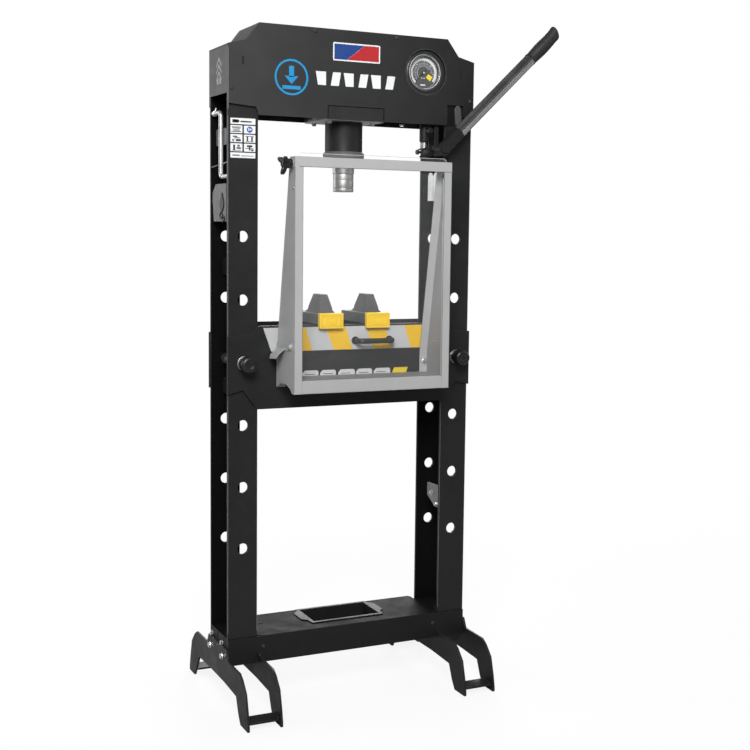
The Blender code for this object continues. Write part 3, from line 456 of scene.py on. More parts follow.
BEZEL = paint(
    "bezel_satin", (0.52, 0.525, 0.53), rough=0.24, variation=0.06, peel=900.0,
    peel_strength=0.02, rubbed_and_lit_edges=0.3, rubbed_and_lit_edge_colour=(0.8, 0.8, 0.8), dust=0.03, gloss=0.8,
)
ZINC = zinc("zinc_plate", (0.60, 0.61, 0.62), rough=0.33)
# darker zinc: painted shade on the right post bracket, whose face is in shade; also used for the
# pin bushes and the wire clip
SHADED_DULL_ZINC = zinc("dull_zinc_painted_shade", (0.30, 0.305, 0.31), rough=0.42)
ROD_ZINC = zinc("rod_zinc", (0.66, 0.665, 0.67), rough=0.40, dark=0.88)
BRACKET_GREY = paint("bracket_grey", (0.155, 0.156, 0.158), rough=0.45, variation=0.14)
COLLAR_GREY = paint("collar_grey", (0.085, 0.086, 0.088), rough=0.46)
# paler grey for painted edge highlights
EDGE_HIGHLIGHT_GREY = paint("painted_edge_highlight", (0.17, 0.17, 0.172), variation=0.35, rubbed_and_lit_edges=0.6)
DEEP_BLACK = paint(
    "shaded_black", (0.0045, 0.0045, 0.0047), rough=0.6, rubbed_and_lit_edges=0.15, dust=0.03, gloss=0.15
)
BOLT = zinc("zinc_bolt", (0.72, 0.73, 0.74), rough=0.24, dark=0.80)
DARK_BOLT = paint(
    "painted_fastener", (0.034, 0.034, 0.036), rough=0.34, rubbed_and_lit_edges=0.55, peel=900.0,
    edge_radius=0.0007,
)
BLOCK = cast("cast_block", (0.064, 0.065, 0.067), rough=0.56)
RUBBER = moulded("grip_rubber", (0.0105, 0.0105, 0.011), rough=0.55, grain=760.0, strength=0.25)
HOSE = moulded("hose_rubber", (0.016, 0.016, 0.017), rough=0.48, grain=1300.0, strength=0.30)
KNOB = moulded("knob_plastic", (0.0095, 0.0095, 0.010), rough=0.30, grain=1200.0, strength=0.08)
CLEAR = clear("clear_window", haze=0.018)
GLASS = clear("gauge_glass", haze=0.006, sheen=0.35)
LEVER = lever_metal("lever_tube")
WHITE_FILM = film("label_white", (0.72, 0.73, 0.74))
GREY_FILM = film("hazard_grey", (0.45, 0.455, 0.465))
YELLOW_FILM = film("hazard_yellow", (0.72, 0.435, 0.010))
LIME_FILM = film("tag_yellow", (0.66, 0.50, 0.015))
BLUE_FILM = film("label_blue", (0.02, 0.09, 0.36))
INK = film("label_ink", (0.022, 0.022, 0.023))
DIAL_INK = film("dial_white", (0.62, 0.63, 0.63))
DIAL = film("dial_dark", (0.060, 0.062, 0.066), rough=0.42)
RAIL_SHADOW_BLACK = moulded("painted_shadow_black", (0.006, 0.006, 0.006), rough=0.6)


# ======================================================================================
# Shapes, in millimetres
# ======================================================================================
def cleaned(shape):
    bmesh.ops.recalc_face_normals(shape, faces=shape.faces)
    return shape


def prism(outline, axis, start, end):
    """A flat outline pushed along an axis: (y, z) for X, (x, z) for Y, (x, y) for Z."""
    def point(a, b, h):
        return {"X": (h, a, b), "Y": (a, h, b), "Z": (a, b, h)}[axis]

    shape = bmesh.new()
    first = [shape.verts.new(point(a, b, start)) for a, b in outline]
    last = [shape.verts.new(point(a, b, end)) for a, b in outline]
    shape.faces.new(first)
    shape.faces.new(last)
    for i in range(len(outline)):
        j = (i + 1) % len(outline)
        shape.faces.new((first[i], first[j], last[j], last[i]))
    return cleaned(shape)


def rect(left, right, low, high):
    return [(left, low), (right, low), (right, high), (left, high)]


def box(left, right, front, back, bottom, top):
    return prism(rect(left, right, front, back), "Z", bottom, top)


def corner(before, here, after, radius, share, steps):
    """Points round a corner; the rounding takes at most this share of either side."""
    before, here, after = Vector(before), Vector(here), Vector(after)
    back, ahead = before - here, after - here
    reach = min(radius, back.length * share, ahead.length * share)
    start, end = here + back.normalized() * reach, here + ahead.normalized() * reach
    stations = [k / steps for k in range(steps + 1)]
    return [tuple(start * (1 - t) ** 2 + here * 2 * t * (1 - t) + end * t * t) for t in stations]


def rounded(points, radius):
    """A closed outline with its corners rounded."""
    out = []
    for i, here in enumerate(points):
        after = points[(i + 1) % len(points)]
        out += corner(points[i - 1], here, after, radius, share=0.45, steps=5)
    return out


def soft_profile(points, radius, steps):
    """Round a closed (radius, height) profile, except on the axis and at nearly straight points."""
    out = []
    for i, here in enumerate(points):
        before, after = points[i - 1], points[(i + 1) % len(points)]
        back, ahead = Vector(before) - Vector(here), Vector(after) - Vector(here)
        if here[0] <= 1e-6 or abs(back.angle(ahead) - math.pi) < 0.12:
            out.append(here)
        else:
            out += corner(before, here, after, radius, share=0.4, steps=steps)
    return out


def circle(x, z, radius, steps):
    angles = [math.tau * i / steps for i in range(steps)]
    return [(x + radius * math.cos(a), z + radius * math.sin(a)) for a in angles]


def drum(radius, start, end):
    """The (radius, height) profile of a plain cylinder."""
    return [(0, start), (radius, start), (radius, end), (0, end)]


def lathe(profile, axis, steps, centre=(0, 0, 0), soft=None, wobble=None):
    """A closed (radius, height) profile turned round an axis.

    soft is the (radius, steps) of its corners; wobble(angle, height, radius) gives a new radius.
    """
    if soft:
        profile = soft_profile(profile, *soft)
    shape = bmesh.new()
    rings = []
    for radius, h in profile:
        ring = []
        for i in range(1 if radius <= 1e-6 else steps):
            angle = math.tau * i / steps
            reach = wobble(angle, h, radius) if wobble and radius > 1e-6 else radius
            a, b = reach * math.cos(angle), reach * math.sin(angle)
            offset = {"X": (h, a, b), "Y": (a, h, b), "Z": (a, b, h)}[axis]
            ring.append(shape.verts.new(Vector(centre) + Vector(offset)))
        rings.append(ring)
    for k, one in enumerate(rings):
        two = rings[(k + 1) % len(rings)]
        if len(one) == 1 and len(two) == 1:
            continue
        for i in range(steps):
            j = (i + 1) % steps
            if len(one) == 1:
                shape.faces.new((one[0], two[i], two[j]))
            elif len(two) == 1:
                shape.faces.new((one[i], one[j], two[0]))
            else:
                shape.faces.new((one[i], one[j], two[j], two[i]))
    return cleaned(shape)


def loft(rings):
    """A skin over rings of equal count, closed at both ends."""
    shape = bmesh.new()
    made = [[shape.verts.new(p) for p in ring] for ring in rings]
    for one, two in zip(made, made[1:]):
        for i in range(len(one)):
            j = (i + 1) % len(one)
            shape.faces.new((one[i], one[j], two[j], two[i]))
    shape.faces.new(made[0])
    shape.faces.new(made[-1])
    return cleaned(shape)


def arc_path(points, radius, steps):
    """A path with an arc at each inner point."""
    points = [Vector(p) for p in points]
    out = [points[0]]
    for before, here, after in zip(points, points[1:], points[2:]):
        back, ahead = (before - here).normalized(), (after - here).normalized()
        half = math.acos(max(-1.0, min(1.0, back.dot(ahead)))) / 2
        reach = radius / math.tan(half)
        centre = here + (back + ahead).normalized() * (radius / math.sin(half))
        start, end = here + back * reach - centre, here + ahead * reach - centre
        turn, spin = start.angle(end), start.cross(end).normalized()
        for i in range(steps + 1):
            out.append(centre + Matrix.Rotation(turn * i / steps, 3, spin) @ start)
    out.append(points[-1])
    return out


def evenly(path, gap):
    """The same path with points no further apart than gap."""
    out = [Vector(path[0])]
    for p in path[1:]:
        p = Vector(p)
        last = out[-1]
        count = max(1, math.ceil((p - last).length / gap))
        for i in range(1, count + 1):
            out.append(last.lerp(p, i / count))
    return out


def tube(path, width, height=None, steps=20, side=None, radius=None, round_ends=0.0):
    """A bar of oval section (half width along side) on a path.

    radius(k, count, angle) scales the section at each station; round_ends is the dome height.
    """
    height = width if height is None else height
    path = [Vector(p) for p in path]
    side = Vector(side) if side else None
    count = len(path)
    rings = []
    for k, here in enumerate(path):
        before = (here - path[k - 1]).normalized() if k else None
        after = (path[k + 1] - here).normalized() if k + 1 < count else None
        along = before or after
        if before is not None and after is not None:
            along = (before + after).normalized()
        if side is None:
            side = along.orthogonal().normalized()
        side = (side - along * side.dot(along)).normalized()
        up = along.cross(side).normalized()
        ring = []
        for i in range(steps):
            a = math.tau * i / steps
            scale = radius(k, count, a) if radius else 1.0
            offset = side * (width * math.cos(a)) + up * (height * math.sin(a))
            ring.append(here + offset * scale)
        rings.append(ring)

    def dome(ring, away):
        centre = sum(ring, Vector()) / steps
        return [
            [centre + (p - centre) * math.sqrt(1 - t * t) + away * (round_ends * t) for p in ring]
            for t in (0.45, 0.8, 0.97)
        ]

    if round_ends:
        start = dome(rings[0], (path[0] - path[1]).normalized())
        end = dome(rings[-1], (path[-1] - path[-2]).normalized())
        rings = start[::-1] + rings + end
    return loft(rings)


def merged(*shapes):
    """Several separate shells in one mesh."""
    out = bmesh.new()
    for shape in shapes:
        mesh = bpy.data.meshes.new("part")
        shape.to_mesh(mesh)
        shape.free()
        out.from_mesh(mesh)
        bpy.data.meshes.remove(mesh)
    return out


def piece(name, shape, material, body="frame", bevel=0.0, segments=2, smooth=True,
          angle=40.0, replaces=None):
    """A finished visual piece in the row frame, riding on a body."""
    mesh = bpy.data.meshes.new(name)
    for v in shape.verts:
        v.co = v.co * MM + SHIFT
    shape.to_mesh(mesh)
    shape.free()
    mesh.materials.append(material)
    if smooth:
        mesh.shade_smooth()
        mesh.set_sharp_from_angle(angle=math.radians(angle))
    obj = bpy.data.objects.new(name, mesh)
    bpy.context.scene.collection.objects.link(obj)
    if bevel:
        edge = obj.modifiers.new("edge", "BEVEL")
        edge.width = bevel * MM
        edge.segments = segments
        edge.limit_method = "ANGLE"
        edge.angle_limit = math.radians(32)
        edge.harden_normals = False
    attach(obj, body)
    if replaces:
        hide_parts(replaces)


def placed(shape, centre, axis):
    """Turn a shape built about +Z at the origin to point along axis, and put it at centre."""
    turn = Vector((0, 0, 1)).rotation_difference(Vector(axis).normalized()).to_matrix()
    bmesh.ops.rotate(shape, verts=shape.verts, cent=Vector((0, 0, 0)), matrix=turn)
    bmesh.ops.translate(shape, verts=shape.verts, vec=Vector(centre))
    return shape


def bolt(name, centre, axis, across, height, washer=0.0, spin=0.0, thread=0.0, material=BOLT):
    """Chamfered hex head, seated at centre, on a washer of the given radius if any."""
    shapes = []
    seat = 1.5 if washer else 0.0
    if washer:
        shapes.append(lathe(drum(washer, 0, seat), "Z", steps=32, soft=(0.4, 2)))
    limit = across / math.sqrt(3) * 0.985
    top = seat + height
    rings = []
    for z, scale in ((seat, 0.985), (seat + 0.4, 1.0), (seat + height * 0.82, 1.0), (top, 0.86)):
        ring = []
        for i in range(24):
            a = math.tau * i / 24 + spin
            local = (a - spin) % (math.tau / 6) - math.tau / 12
            reach = min((across / 2) / math.cos(local), limit) * scale
            ring.append((reach * math.cos(a), reach * math.sin(a), z))
        rings.append(ring)
    shapes.append(loft(rings))
    if thread:
        stub = drum(across * 0.28, top - 0.5, top + thread)
        shapes.append(lathe(stub, "Z", steps=20, soft=(0.6, 2)))
    piece(name, placed(merged(*shapes), centre, axis), material)


def button_screw(centre, axis, radius, height, socket):
    """Low round head with a hex socket."""
    profile = [(0.0, height - 1.5), (socket * 0.92, height - 1.5), (socket, height * 0.985)]
    for i in range(8):
        a = i / 7 * math.pi / 2
        reach = socket + (radius - socket) * math.sin(a)
        profile.append((reach, height * (0.97 * math.cos(a) + 0.03)))
    profile += [(radius, 0.0), (0.0, 0.0)]

    def hexed(a, h, reach):
        if reach > socket * 1.001:
            return reach
        return reach * 0.93 / math.cos(a % (math.tau / 6) - math.tau / 12)

    return placed(lathe(profile, "Z", steps=36, wobble=hexed), centre, axis)


def rivet(centre, axis, radius, height):
    profile = [(0.0, height)]
    for i in range(1, 8):
        a = i / 7 * math.pi / 2
        profile.append((radius * math.sin(a), height * math.cos(a) * 0.92 + height * 0.08))
    profile += [(radius, 0.0), (0.0, 0.0)]
    return placed(lathe(profile, "Z", steps=28), centre, axis)


def weld(start, end, radius):
    """A weld bead: a run of overlapping scales."""
    gap, pitch = 0.8, 2.4

    def scale(k, count, a):
        s = k * gap
        phase = (s % pitch) / pitch
        ends = min(1.0, (k + 1) / 4, (count - k) / 4)
        bead = 0.80 + 0.26 * (1 - phase) ** 1.5 + 0.05 * math.sin(s * 1.7 + a * 2)
        return bead * (0.35 + 0.65 * ends)

    path = evenly([start, end], gap)
    return tube(path, radius, steps=10, radius=scale, round_ends=radius * 0.4)


# ======================================================================================
# CAD nodes that stay: real edge rounding and a painted finish
# ======================================================================================
def smooth_group(angle):
    """Geometry nodes: smooth shading, with edges sharper than the angle kept sharp."""
    group = bpy.data.node_groups.new("smooth_by_angle", "GeometryNodeTree")
    for direction in ("INPUT", "OUTPUT"):
        group.interface.new_socket(
            name="Geometry", in_out=direction, socket_type="NodeSocketGeometry"
        )
    new = group.nodes.new
    start, end = new("NodeGroupInput"), new("NodeGroupOutput")
    faces, edges = new("GeometryNodeSetShadeSmooth"), new("GeometryNodeSetShadeSmooth")
    edges.domain = "EDGE"
    edges.inputs["Shade Smooth"].default_value = False
    turn, more = new("GeometryNodeInputMeshEdgeAngle"), new("FunctionNodeCompare")
    more.operation = "GREATER_THAN"
    more.inputs[1].default_value = math.radians(angle)
    group.links.new(start.outputs[0], faces.inputs["Geometry"])
    group.links.new(faces.outputs[0], edges.inputs["Geometry"])
    group.links.new(turn.outputs["Unsigned Angle"], more.inputs[0])
    group.links.new(more.outputs[0], edges.inputs["Selection"])
    group.links.new(edges.outputs[0], end.inputs[0])
    return group


SMOOTH = smooth_group(50.0)


def dress(node, material, bevel, segments=2):
    obj = NODES[node]
    obj.data.materials.clear()
    obj.data.materials.append(material)
    if "custom_normal" in obj.data.attributes:
        obj.data.attributes.remove(obj.data.attributes["custom_normal"])
    obj.modifiers.new("join", "WELD").merge_threshold = 1e-5
    if bevel:
        flat = obj.modifiers.new("flat", "DECIMATE")
        flat.decimate_type = "DISSOLVE"
        flat.angle_limit = math.radians(0.6)
        edge = obj.modifiers.new("edge", "BEVEL")
        edge.width = bevel * MM
        edge.segments = segments
        edge.limit_method = "ANGLE"
        edge.angle_limit = math.radians(38.0)
        edge.use_clamp_overlap = True
        edge.harden_normals = False
        edge.miter_outer = "MITER_ARC"
    obj.modifiers.new("shade", "NODES").node_group = SMOOTH
    even = obj.modifiers.new("even", "WEIGHTED_NORMAL")
    even.mode = "FACE_AREA"
    even.weight = 100
    even.keep_sharp = True


# material, edge width, bevel segments, nodes ({} stands for left and right)
DRESSED = (
    (BLACK, 0.9, 2, "{}_outer_leg {}_inner_leg bed_{}_spacer"),
    (BLACK, 0.8, 2, "{}_post_front_plate {}_post_upper_spacer left_post_lower_spacer"),
    (BLACK, 0.8, 2, "beam_rear_plate bed_front_plate bed_rear_plate"),
    (BLACK, 0.7, 2, "{}_front_foot_plate {}_rear_foot_plate pump_fulcrum_link"),
    (BLACK, 0.6, 2, "pump_rocker"),
    (BLACK, 0.5, 2, "parts_tray handle_pivot_pin"),
    (REAR_BLACK, 0.8, 2, "{}_post_rear_plate"),
    (LIT_COVER_BLACK, 0.4, 2, "{}_side_cover"),
    (LIT_COVER_BLACK, 0.6, 2, "beam_top_cover"),
    (LIT_BEAM_BLACK, 0.8, 2, "beam_front_plate"),
    (BLACK_SHEET, 0.8, 2, "base_channel"),
    (BLOCK, 1.6, 3, "{}_press_block"),
    (YELLOW, 1.1, 3, "{}_block_cap"),
    # darker zinc as painted shade on the bracket
    (SHADED_DULL_ZINC, 0.5, 2, "right_post_bracket"),
    (ZINC, 0.9, 2, "cylinder_mount_plate"),
    (GREY, 0.45, 2, "guard_frame"),
    (GREY, 0.3, 2, "guard_latch"),
    (CLEAR, 0.5, 2, "guard_window"),
    (GLOSS_BLACK, 0.6, 2, "pump_body"),
    (GLOSS_BLACK, 0.9, 2, "handle_socket"),
    (GLOSS_BLACK, 2.5, 3, "oil_tank"),
    (CHROME, 0.4, 2, "pump_plunger"),
    (BRACKET_GREY, 0.4, 2, "tool_bracket"),
    (KNOB, 0.4, 2, "release_valve_knob"),
    (HOSE, 0.3, 2, "hydraulic_hose"),
    (ROD_ZINC, 0.3, 2, "stored_bent_rod"),
)
for material, bevel, segments, nodes in DRESSED:
    for node in nodes.split():
        for name in dict.fromkeys(node.format(side) for side, _ in SIDES):
            dress(name, material, bevel, segments)

# hanger on the right post: two upright strips with clipped tops, joined by a foot
strips = []
for front, back in ((-31, -1.4), (1.4, 31.5)):
    outline = [
        (front, 1329), (front, 1386), (front + 4, 1394), (front + 10, 1397),
        (back - 10, 1397), (back - 4, 1394), (back, 1386), (back, 1329),
    ]
    strips.append(prism(outline, "X", 268, 271))
strips.append(box(268, 271, -31, 31.5, 1319.5, 1329.2))
piece("hanger_strips", merged(*strips), ZINC, bevel=0.5,
      replaces="right_post_hanger")
web = merged(
    box(271, 290, 28.9, 31.4, 1321, 1383),
    box(287.2, 290.2, 31.4, 65.5, 1332, 1380),
    box(272, 287.2, 62.7, 65.5, 1332.2, 1379.8),
)
piece("hanger_web", web, DEEP_BLACK, bevel=0.3)

# ======================================================================================
# Cylinder, ram: profiles are (radius, height)
# ======================================================================================
cylinder = span("ram_cylinder")
top, foot = cylinder.top, cylinder.bottom
plate_top = span("cylinder_mount_plate").top
BARREL = 49.5
FLANGE = 66
BORE = 30
barrel = [
    (0, top), (44, top), (BARREL, top - 6), (BARREL, plate_top + 14), (FLANGE, plate_top + 14),
    (FLANGE, plate_top + 0.3), (BARREL, plate_top + 0.3), (BARREL, 1441.5), (50.4, 1440.2),
    (53.4, 1437.6), (54, 1436.6), (54, foot + 2.4), (52, foot), (40, foot), (39, foot + 2.4),
    (31.5, foot + 2.4), (BORE, foot + 1.0), (BORE, foot + 229), (0, foot + 229),
]
piece("cylinder_barrel", lathe(barrel, "Z", steps=112, soft=(0.9, 3)), GLOSS_BLACK,
      replaces="ram_cylinder")
piston = span("ram_piston")
rod = [
    (0, piston.top), (28.5, piston.top), (28.5, piston.bottom + 1.2), (27.3, piston.bottom),
    (0, piston.bottom),
]
piece("ram_rod", lathe(rod, "Z", steps=112, soft=(0.5, 2)), CHROME, "ram",
      replaces="ram_piston")
nose = span("ram_nose")
top, tip = nose.top, nose.bottom
nose_profile = [
    (0, top), (26.4, top), (27.2, top - 1.2), (27.2, top - 14.2), (26.6, top - 14.8),
    (26.6, top - 16.0), (27.2, top - 16.6), (27.2, tip + 11.2), (26.0, tip + 10.4),
    (26.0, tip + 9.2), (27.4, tip + 8.4), (27.4, tip + 1.6), (26.4, tip), (0, tip),
]
piece("ram_end", lathe(nose_profile, "Z", steps=112, soft=(0.5, 3)), GROUND, "ram",
      replaces="ram_nose")

# ======================================================================================
# Bed pins, knobs and the lifting handle
# ======================================================================================
for label, _ in SIDES:
    pin = span(f"{label}_bed_pin")
    centre = ((pin.left + pin.right) / 2, 0, (pin.bottom + pin.top) / 2)
    front, back = pin.front, pin.back
    body = f"{label}_pin"
    shaft = [
        (0, back), (11, back), (13.8, back - 3), (13.8, -83), (16, -83), (16, -96.5), (0, -96.5),
    ]
    piece(f"{label}_pin_shaft", lathe(shaft, "Y", steps=64, centre=centre, soft=(0.6, 3)),
          PIN_STEEL, body, replaces=f"{label}_bed_pin")

    def ribs(a, h, radius):
        if radius > 19.6 and front + 8 < h < -105:
            return radius - 0.35 * (0.5 - 0.5 * math.cos(a * 24))
        return radius

    knob = [(0, -96.7), (17.0, -96.7), (18.6, -98.2), (19.6, -100.2), (20.5, -104)]
    knob += [(20.5, -104 - k * 1.6) for k in range(1, 13)]
    knob += [
        (20.4, front + 6.5), (19.6, front + 3.2), (17.8, front + 1.2), (14.5, front + 0.2),
        (11.0, front), (9.6, front + 0.9), (0, front + 1.6),
    ]
    piece(f"{label}_pin_knob", lathe(knob, "Y", steps=144, centre=centre, wobble=ribs), KNOB,
          body)
    bush = [
        (13.9, -82.3), (17.6, -82.3), (18.4, -83.0), (18.4, -84.4), (17.6, -85.0), (16.3, -85.0),
        (13.9, -84.9),
    ]
    piece(f"{label}_pin_bush", lathe(bush, "Y", steps=64, centre=centre), SHADED_DULL_ZINC)

handle = span("bed_handle")
handle_z = (handle.bottom + handle.top) / 2
handle_front = handle.front + 6.2
ends = (handle.left + 8.2, handle.right - 8.2)
bar = arc_path(
    [(ends[0], -82.2, handle_z), (ends[0], handle_front, handle_z),
     (ends[1], handle_front, handle_z), (ends[1], -82.2, handle_z)],
    radius=13.0, steps=10,
)


def waist(k, count, a):
    """Thinner towards both ends of the bar."""
    t = abs(k / (count - 1) - 0.5) * 2
    return 1.0 - 0.10 * max(0.0, (t - 0.5) / 0.5) ** 2


handle_plastic = moulded(
    "handle_plastic", (0.0060, 0.0060, 0.0064), rough=0.42, grain=1200.0, strength=0.08
)
piece("lifting_handle", tube(evenly(bar, 4.0), 7.0, 6.0, 28, side=(0, 0, 1), radius=waist),
      handle_plastic, replaces="bed_handle")
for x in ends:
    foot = lathe(drum(10.5, -82.1, -84.0), "Y", steps=36, centre=(x, 0, handle_z), soft=(0.6, 3))
    piece(f"handle_foot_{int(x) + 100}", foot, KNOB)

# ======================================================================================
# Star knob of the window clamp, on an X axis left of the guard
# ======================================================================================
knob_left = span("guard_knob").left
KNOB_Y, KNOB_Z = -199.0, 1395.0
STAR_STEPS = 144


def star_ring(x, scale):
    """A three-armed outline at x; the arms lean left towards their tips."""
    ring = []
    for i in range(STAR_STEPS):
        a = math.tau * i / STAR_STEPS
        arm = math.cos(3 * a)
        reach = 11.6 + 14.6 * arm ** 1.35 if arm > 0 else 11.6 - 0.8 * abs(arm)
        y = reach * scale * math.cos(a - math.pi / 2)
        z = reach * scale * math.sin(a - math.pi / 2)
        lean = 6.4 * max(0.0, (math.hypot(y, z) - 10.5) / 17.0) ** 1.1
        ring.append((x - lean, KNOB_Y + y * 1.05, KNOB_Z + z * 1.05))
    return ring


rings = []
for k in range(5, -1, -1):
    a = k / 5 * math.pi / 2
    rings.append(star_ring(knob_left + 9.6 - 3.0 * math.sin(a), 0.80 + 0.20 * math.cos(a)))
rings += [star_ring(knob_left + 9.6 + k * 1.5, 1.0) for k in range(1, 5)]
for k in range(1, 5):
    a = k / 4 * math.pi / 2
    rings.append(star_ring(knob_left + 15.6 + 2.4 * math.sin(a), 1.0 - 0.20 * (1 - math.cos(a))))
knob_centre = (0, KNOB_Y, KNOB_Z)
hub = [(0, knob_left + 14), (12.6, knob_left + 14), (11.8, -222.5), (10.2, -221), (0, -221)]
cap = [
    (0, knob_left + 9.0), (9.6, knob_left + 9.0), (9.2, knob_left + 5.2), (6.0, knob_left + 4.6),
    (0, knob_left + 4.6),
]
star = merged(
    loft(rings),
    lathe(hub, "X", steps=48, centre=knob_centre, soft=(0.8, 3)),
    lathe(cap, "X", steps=48, centre=knob_centre, soft=(0.4, 3)),
)
piece("clamp_knob_star", star, KNOB, "window_clamp", angle=35,
      replaces="guard_knob")
stud = [(0, -222), (9.8, -222), (9.8, -217), (4.2, -216.6), (4.2, -208.2), (0, -208.2)]
stud = merged(
    lathe(stud, "X", steps=32, centre=knob_centre, soft=(0.3, 2)),
    lathe(drum(9.2, -218.9, -217.0), "X", steps=40, centre=knob_centre, soft=(0.4, 2)),
)
piece("clamp_knob_stud", stud, BOLT, "window_clamp")

# ======================================================================================
# Pump lever: stations are distances along it from its foot
# ======================================================================================
TUBE_START, TUBE_STEP = 71.6, 22.9
GRIP_START, GRIP_END, GRIP_CROWN = 368.4, 481.6, 5.0


def lever_point(along, across, y):
    sine, cosine = math.sin(LEVER_ANGLE), math.cos(LEVER_ANGLE)
    return Vector((LEVER_X + along * cosine - across * sine, LEVER_Y + y,
                   LEVER_Z + along * sine + across * cosine))


def lever_ring(along, radius_at, count):
    out = []
    for i in range(count):
        a = math.tau * i / count
        radius = radius_at(a)
        out.append(lever_point(along, radius * math.cos(a), radius * math.sin(a)))
    return out


def fluted(a):
    return 16.6 - 1.9 * (0.5 + 0.5 * math.cos(a * 16)) ** 0.8


rings = [
    lever_ring(71.5, lambda a: 13.6, 192),
    lever_ring(71.2, lambda a: 13.8, 192),
    lever_ring(71.0, lambda a: fluted(a) * 0.975, 192),
]
rings += [lever_ring(TUBE_START + k * TUBE_STEP, fluted, 192) for k in range(14)]
piece("lever_tube", loft(rings), LEVER, "handle", angle=25,
      replaces="handle_lever")


def grip_ring(along, scale=1.0):
    """Palm grip: flared start, swell in the middle, a raised heel on the upper side at the end."""
    t = (along - GRIP_START) / (GRIP_END - GRIP_START)
    girth = 16.6 + 2.3 * math.sin(math.pi * min(1.0, t * 1.15)) ** 1.3
    if t < 0.07:
        girth += 1.2 * (1 - t / 0.07) ** 2
    groove = 0.0
    if 0.14 < t < 0.8:
        groove = 0.45 * (0.5 + 0.5 * math.cos((along - GRIP_START) / 3.4 * math.tau)) ** 4
    out = []
    for i in range(96):
        a = math.tau * i / 96
        heel = 4.6 * max(0.0, (t - 0.62) / 0.38) ** 1.6 * max(0.0, math.cos(a))
        finger = 0.40 * max(0.0, math.cos(a * 3 + 0.4)) if 0.1 < t < 0.9 else 0.0
        radius = (girth + heel - finger - groove) * scale
        up = radius * math.cos(a)
        out.append(lever_point(along + 0.30 * (up - 6.0) * t ** 3, up, radius * math.sin(a)))
    return out


GRIP_RINGS = 190
crown_start = GRIP_END - GRIP_CROWN
rings = [lever_ring(GRIP_START + 0.4, lambda a: 17.1 * 0.96, 96)]
for k in range(GRIP_RINGS + 1):
    rings.append(grip_ring(GRIP_START + (crown_start - GRIP_START) * k / GRIP_RINGS))
for t in (0.3, 0.6, 0.82, 0.95, 1.0):
    shrink = 1 - (1 - math.sqrt(1 - t * t)) * 0.22
    rings.append(grip_ring(crown_start + GRIP_CROWN * t, shrink))
piece("lever_grip", loft(rings), RUBBER, "handle", angle=60,
      replaces="handle_grip")

# ======================================================================================
# Gauge: degrees run clockwise from 12 o'clock
# ======================================================================================
GAUGE_X, GAUGE_Z = 200.5, 1655.0
DIAL_FACE = -65.5
gauge_centre = (GAUGE_X, 0, GAUGE_Z)
front = span("gauge_case").front
dress("gauge_case", GLOSS_BLACK, 0.5)
bezel = [
    (42.7, front + 2.0), (43.6, front + 0.7), (45.0, front + 0.15), (46.4, front + 0.7),
    (47.25, front + 2.4), (47.3, front + 9.3), (46.2, front + 9.6), (46.0, front + 3.0),
    (44.4, front + 2.4), (42.8, front + 4.4),
]
piece("gauge_bezel", lathe(bezel, "Y", steps=144, centre=gauge_centre, soft=(0.3, 2)), BEZEL)
dress("gauge_dial", DIAL, 0.0)
dress("gauge_lens", GLASS, 0.0)
dress("gauge_needle", moulded("needle_black", (0.012, 0.012, 0.012), rough=0.4), 0.12)


def on_dial(outline, proud):
    return prism(outline, "Y", DIAL_FACE - proud, DIAL_FACE - 0.02)


def dial_arc(inner, outer, start, end, count):
    """Ring sector on the dial."""
    points = []
    for radius, order in ((outer, range(count + 1)), (inner, range(count, -1, -1))):
        for k in order:
            a = math.radians(start + (end - start) * k / count)
            points.append((GAUGE_X + radius * math.sin(a), GAUGE_Z + radius * math.cos(a)))
    return on_dial(points, 0.22)


def dial_outline(degrees, points):
    """An outline of (outward, sideways) points turned to an angle on the dial."""
    a = math.radians(degrees)
    outward, sideways = Vector((math.sin(a), math.cos(a))), Vector((math.cos(a), -math.sin(a)))
    middle = Vector((GAUGE_X, GAUGE_Z))
    return [tuple(middle + outward * p + sideways * q) for p, q in points]


def ticks(inner, outer, start, end, count, width):
    half = width / 2
    points = [(inner, -half), (outer, -half), (outer, half), (inner, half)]
    turns = [start + (end - start) * k / (count - 1) for k in range(count)]
    return merged(*[on_dial(dial_outline(turn, points), 0.20) for turn in turns])


piece("gauge_scale_band", dial_arc(32.4, 39.2, -138, 128, 120), DIAL_INK,
      smooth=False)
scale_lines = merged(
    dial_arc(40.6, 41.3, -180, 180, 140),
    dial_arc(24.6, 25.2, -135, 95, 90),
    dial_arc(17.6, 18.3, -135, 60, 80),
    ticks(27.0, 32.8, -135, 125, 27, 0.55),
    ticks(19.6, 23.9, -135, 85, 21, 0.5),
)
piece("gauge_scale_lines", scale_lines, DIAL_INK, smooth=False)
piece("gauge_scale_teeth", ticks(33.2, 36.8, -132, 122, 44, 0.8), DIAL, smooth=False)
limit = dial_outline(124, [(13.3, -6.0), (28.1, -7.6), (28.1, 6.6), (13.3, 5.2)])
piece("gauge_limit_mark", prism(limit, "Y", DIAL_FACE - 0.26, DIAL_FACE - 0.03),
      film("dial_yellow", (0.86, 0.62, 0.03)), smooth=False)
bars = merged(
    on_dial(rounded(rect(GAUGE_X - 9, GAUGE_X + 6, GAUGE_Z - 33.8, GAUGE_Z - 30.2), 1.6), 0.2),
    on_dial(rect(GAUGE_X - 7, GAUGE_X - 3.6, GAUGE_Z - 15.2, GAUGE_Z - 12.4), 0.2),
    on_dial(rect(GAUGE_X + 0.6, GAUGE_X + 4, GAUGE_Z - 15.6, GAUGE_Z - 12.8), 0.2),
)
piece("gauge_plain_bars", bars, DIAL_INK, smooth=False)

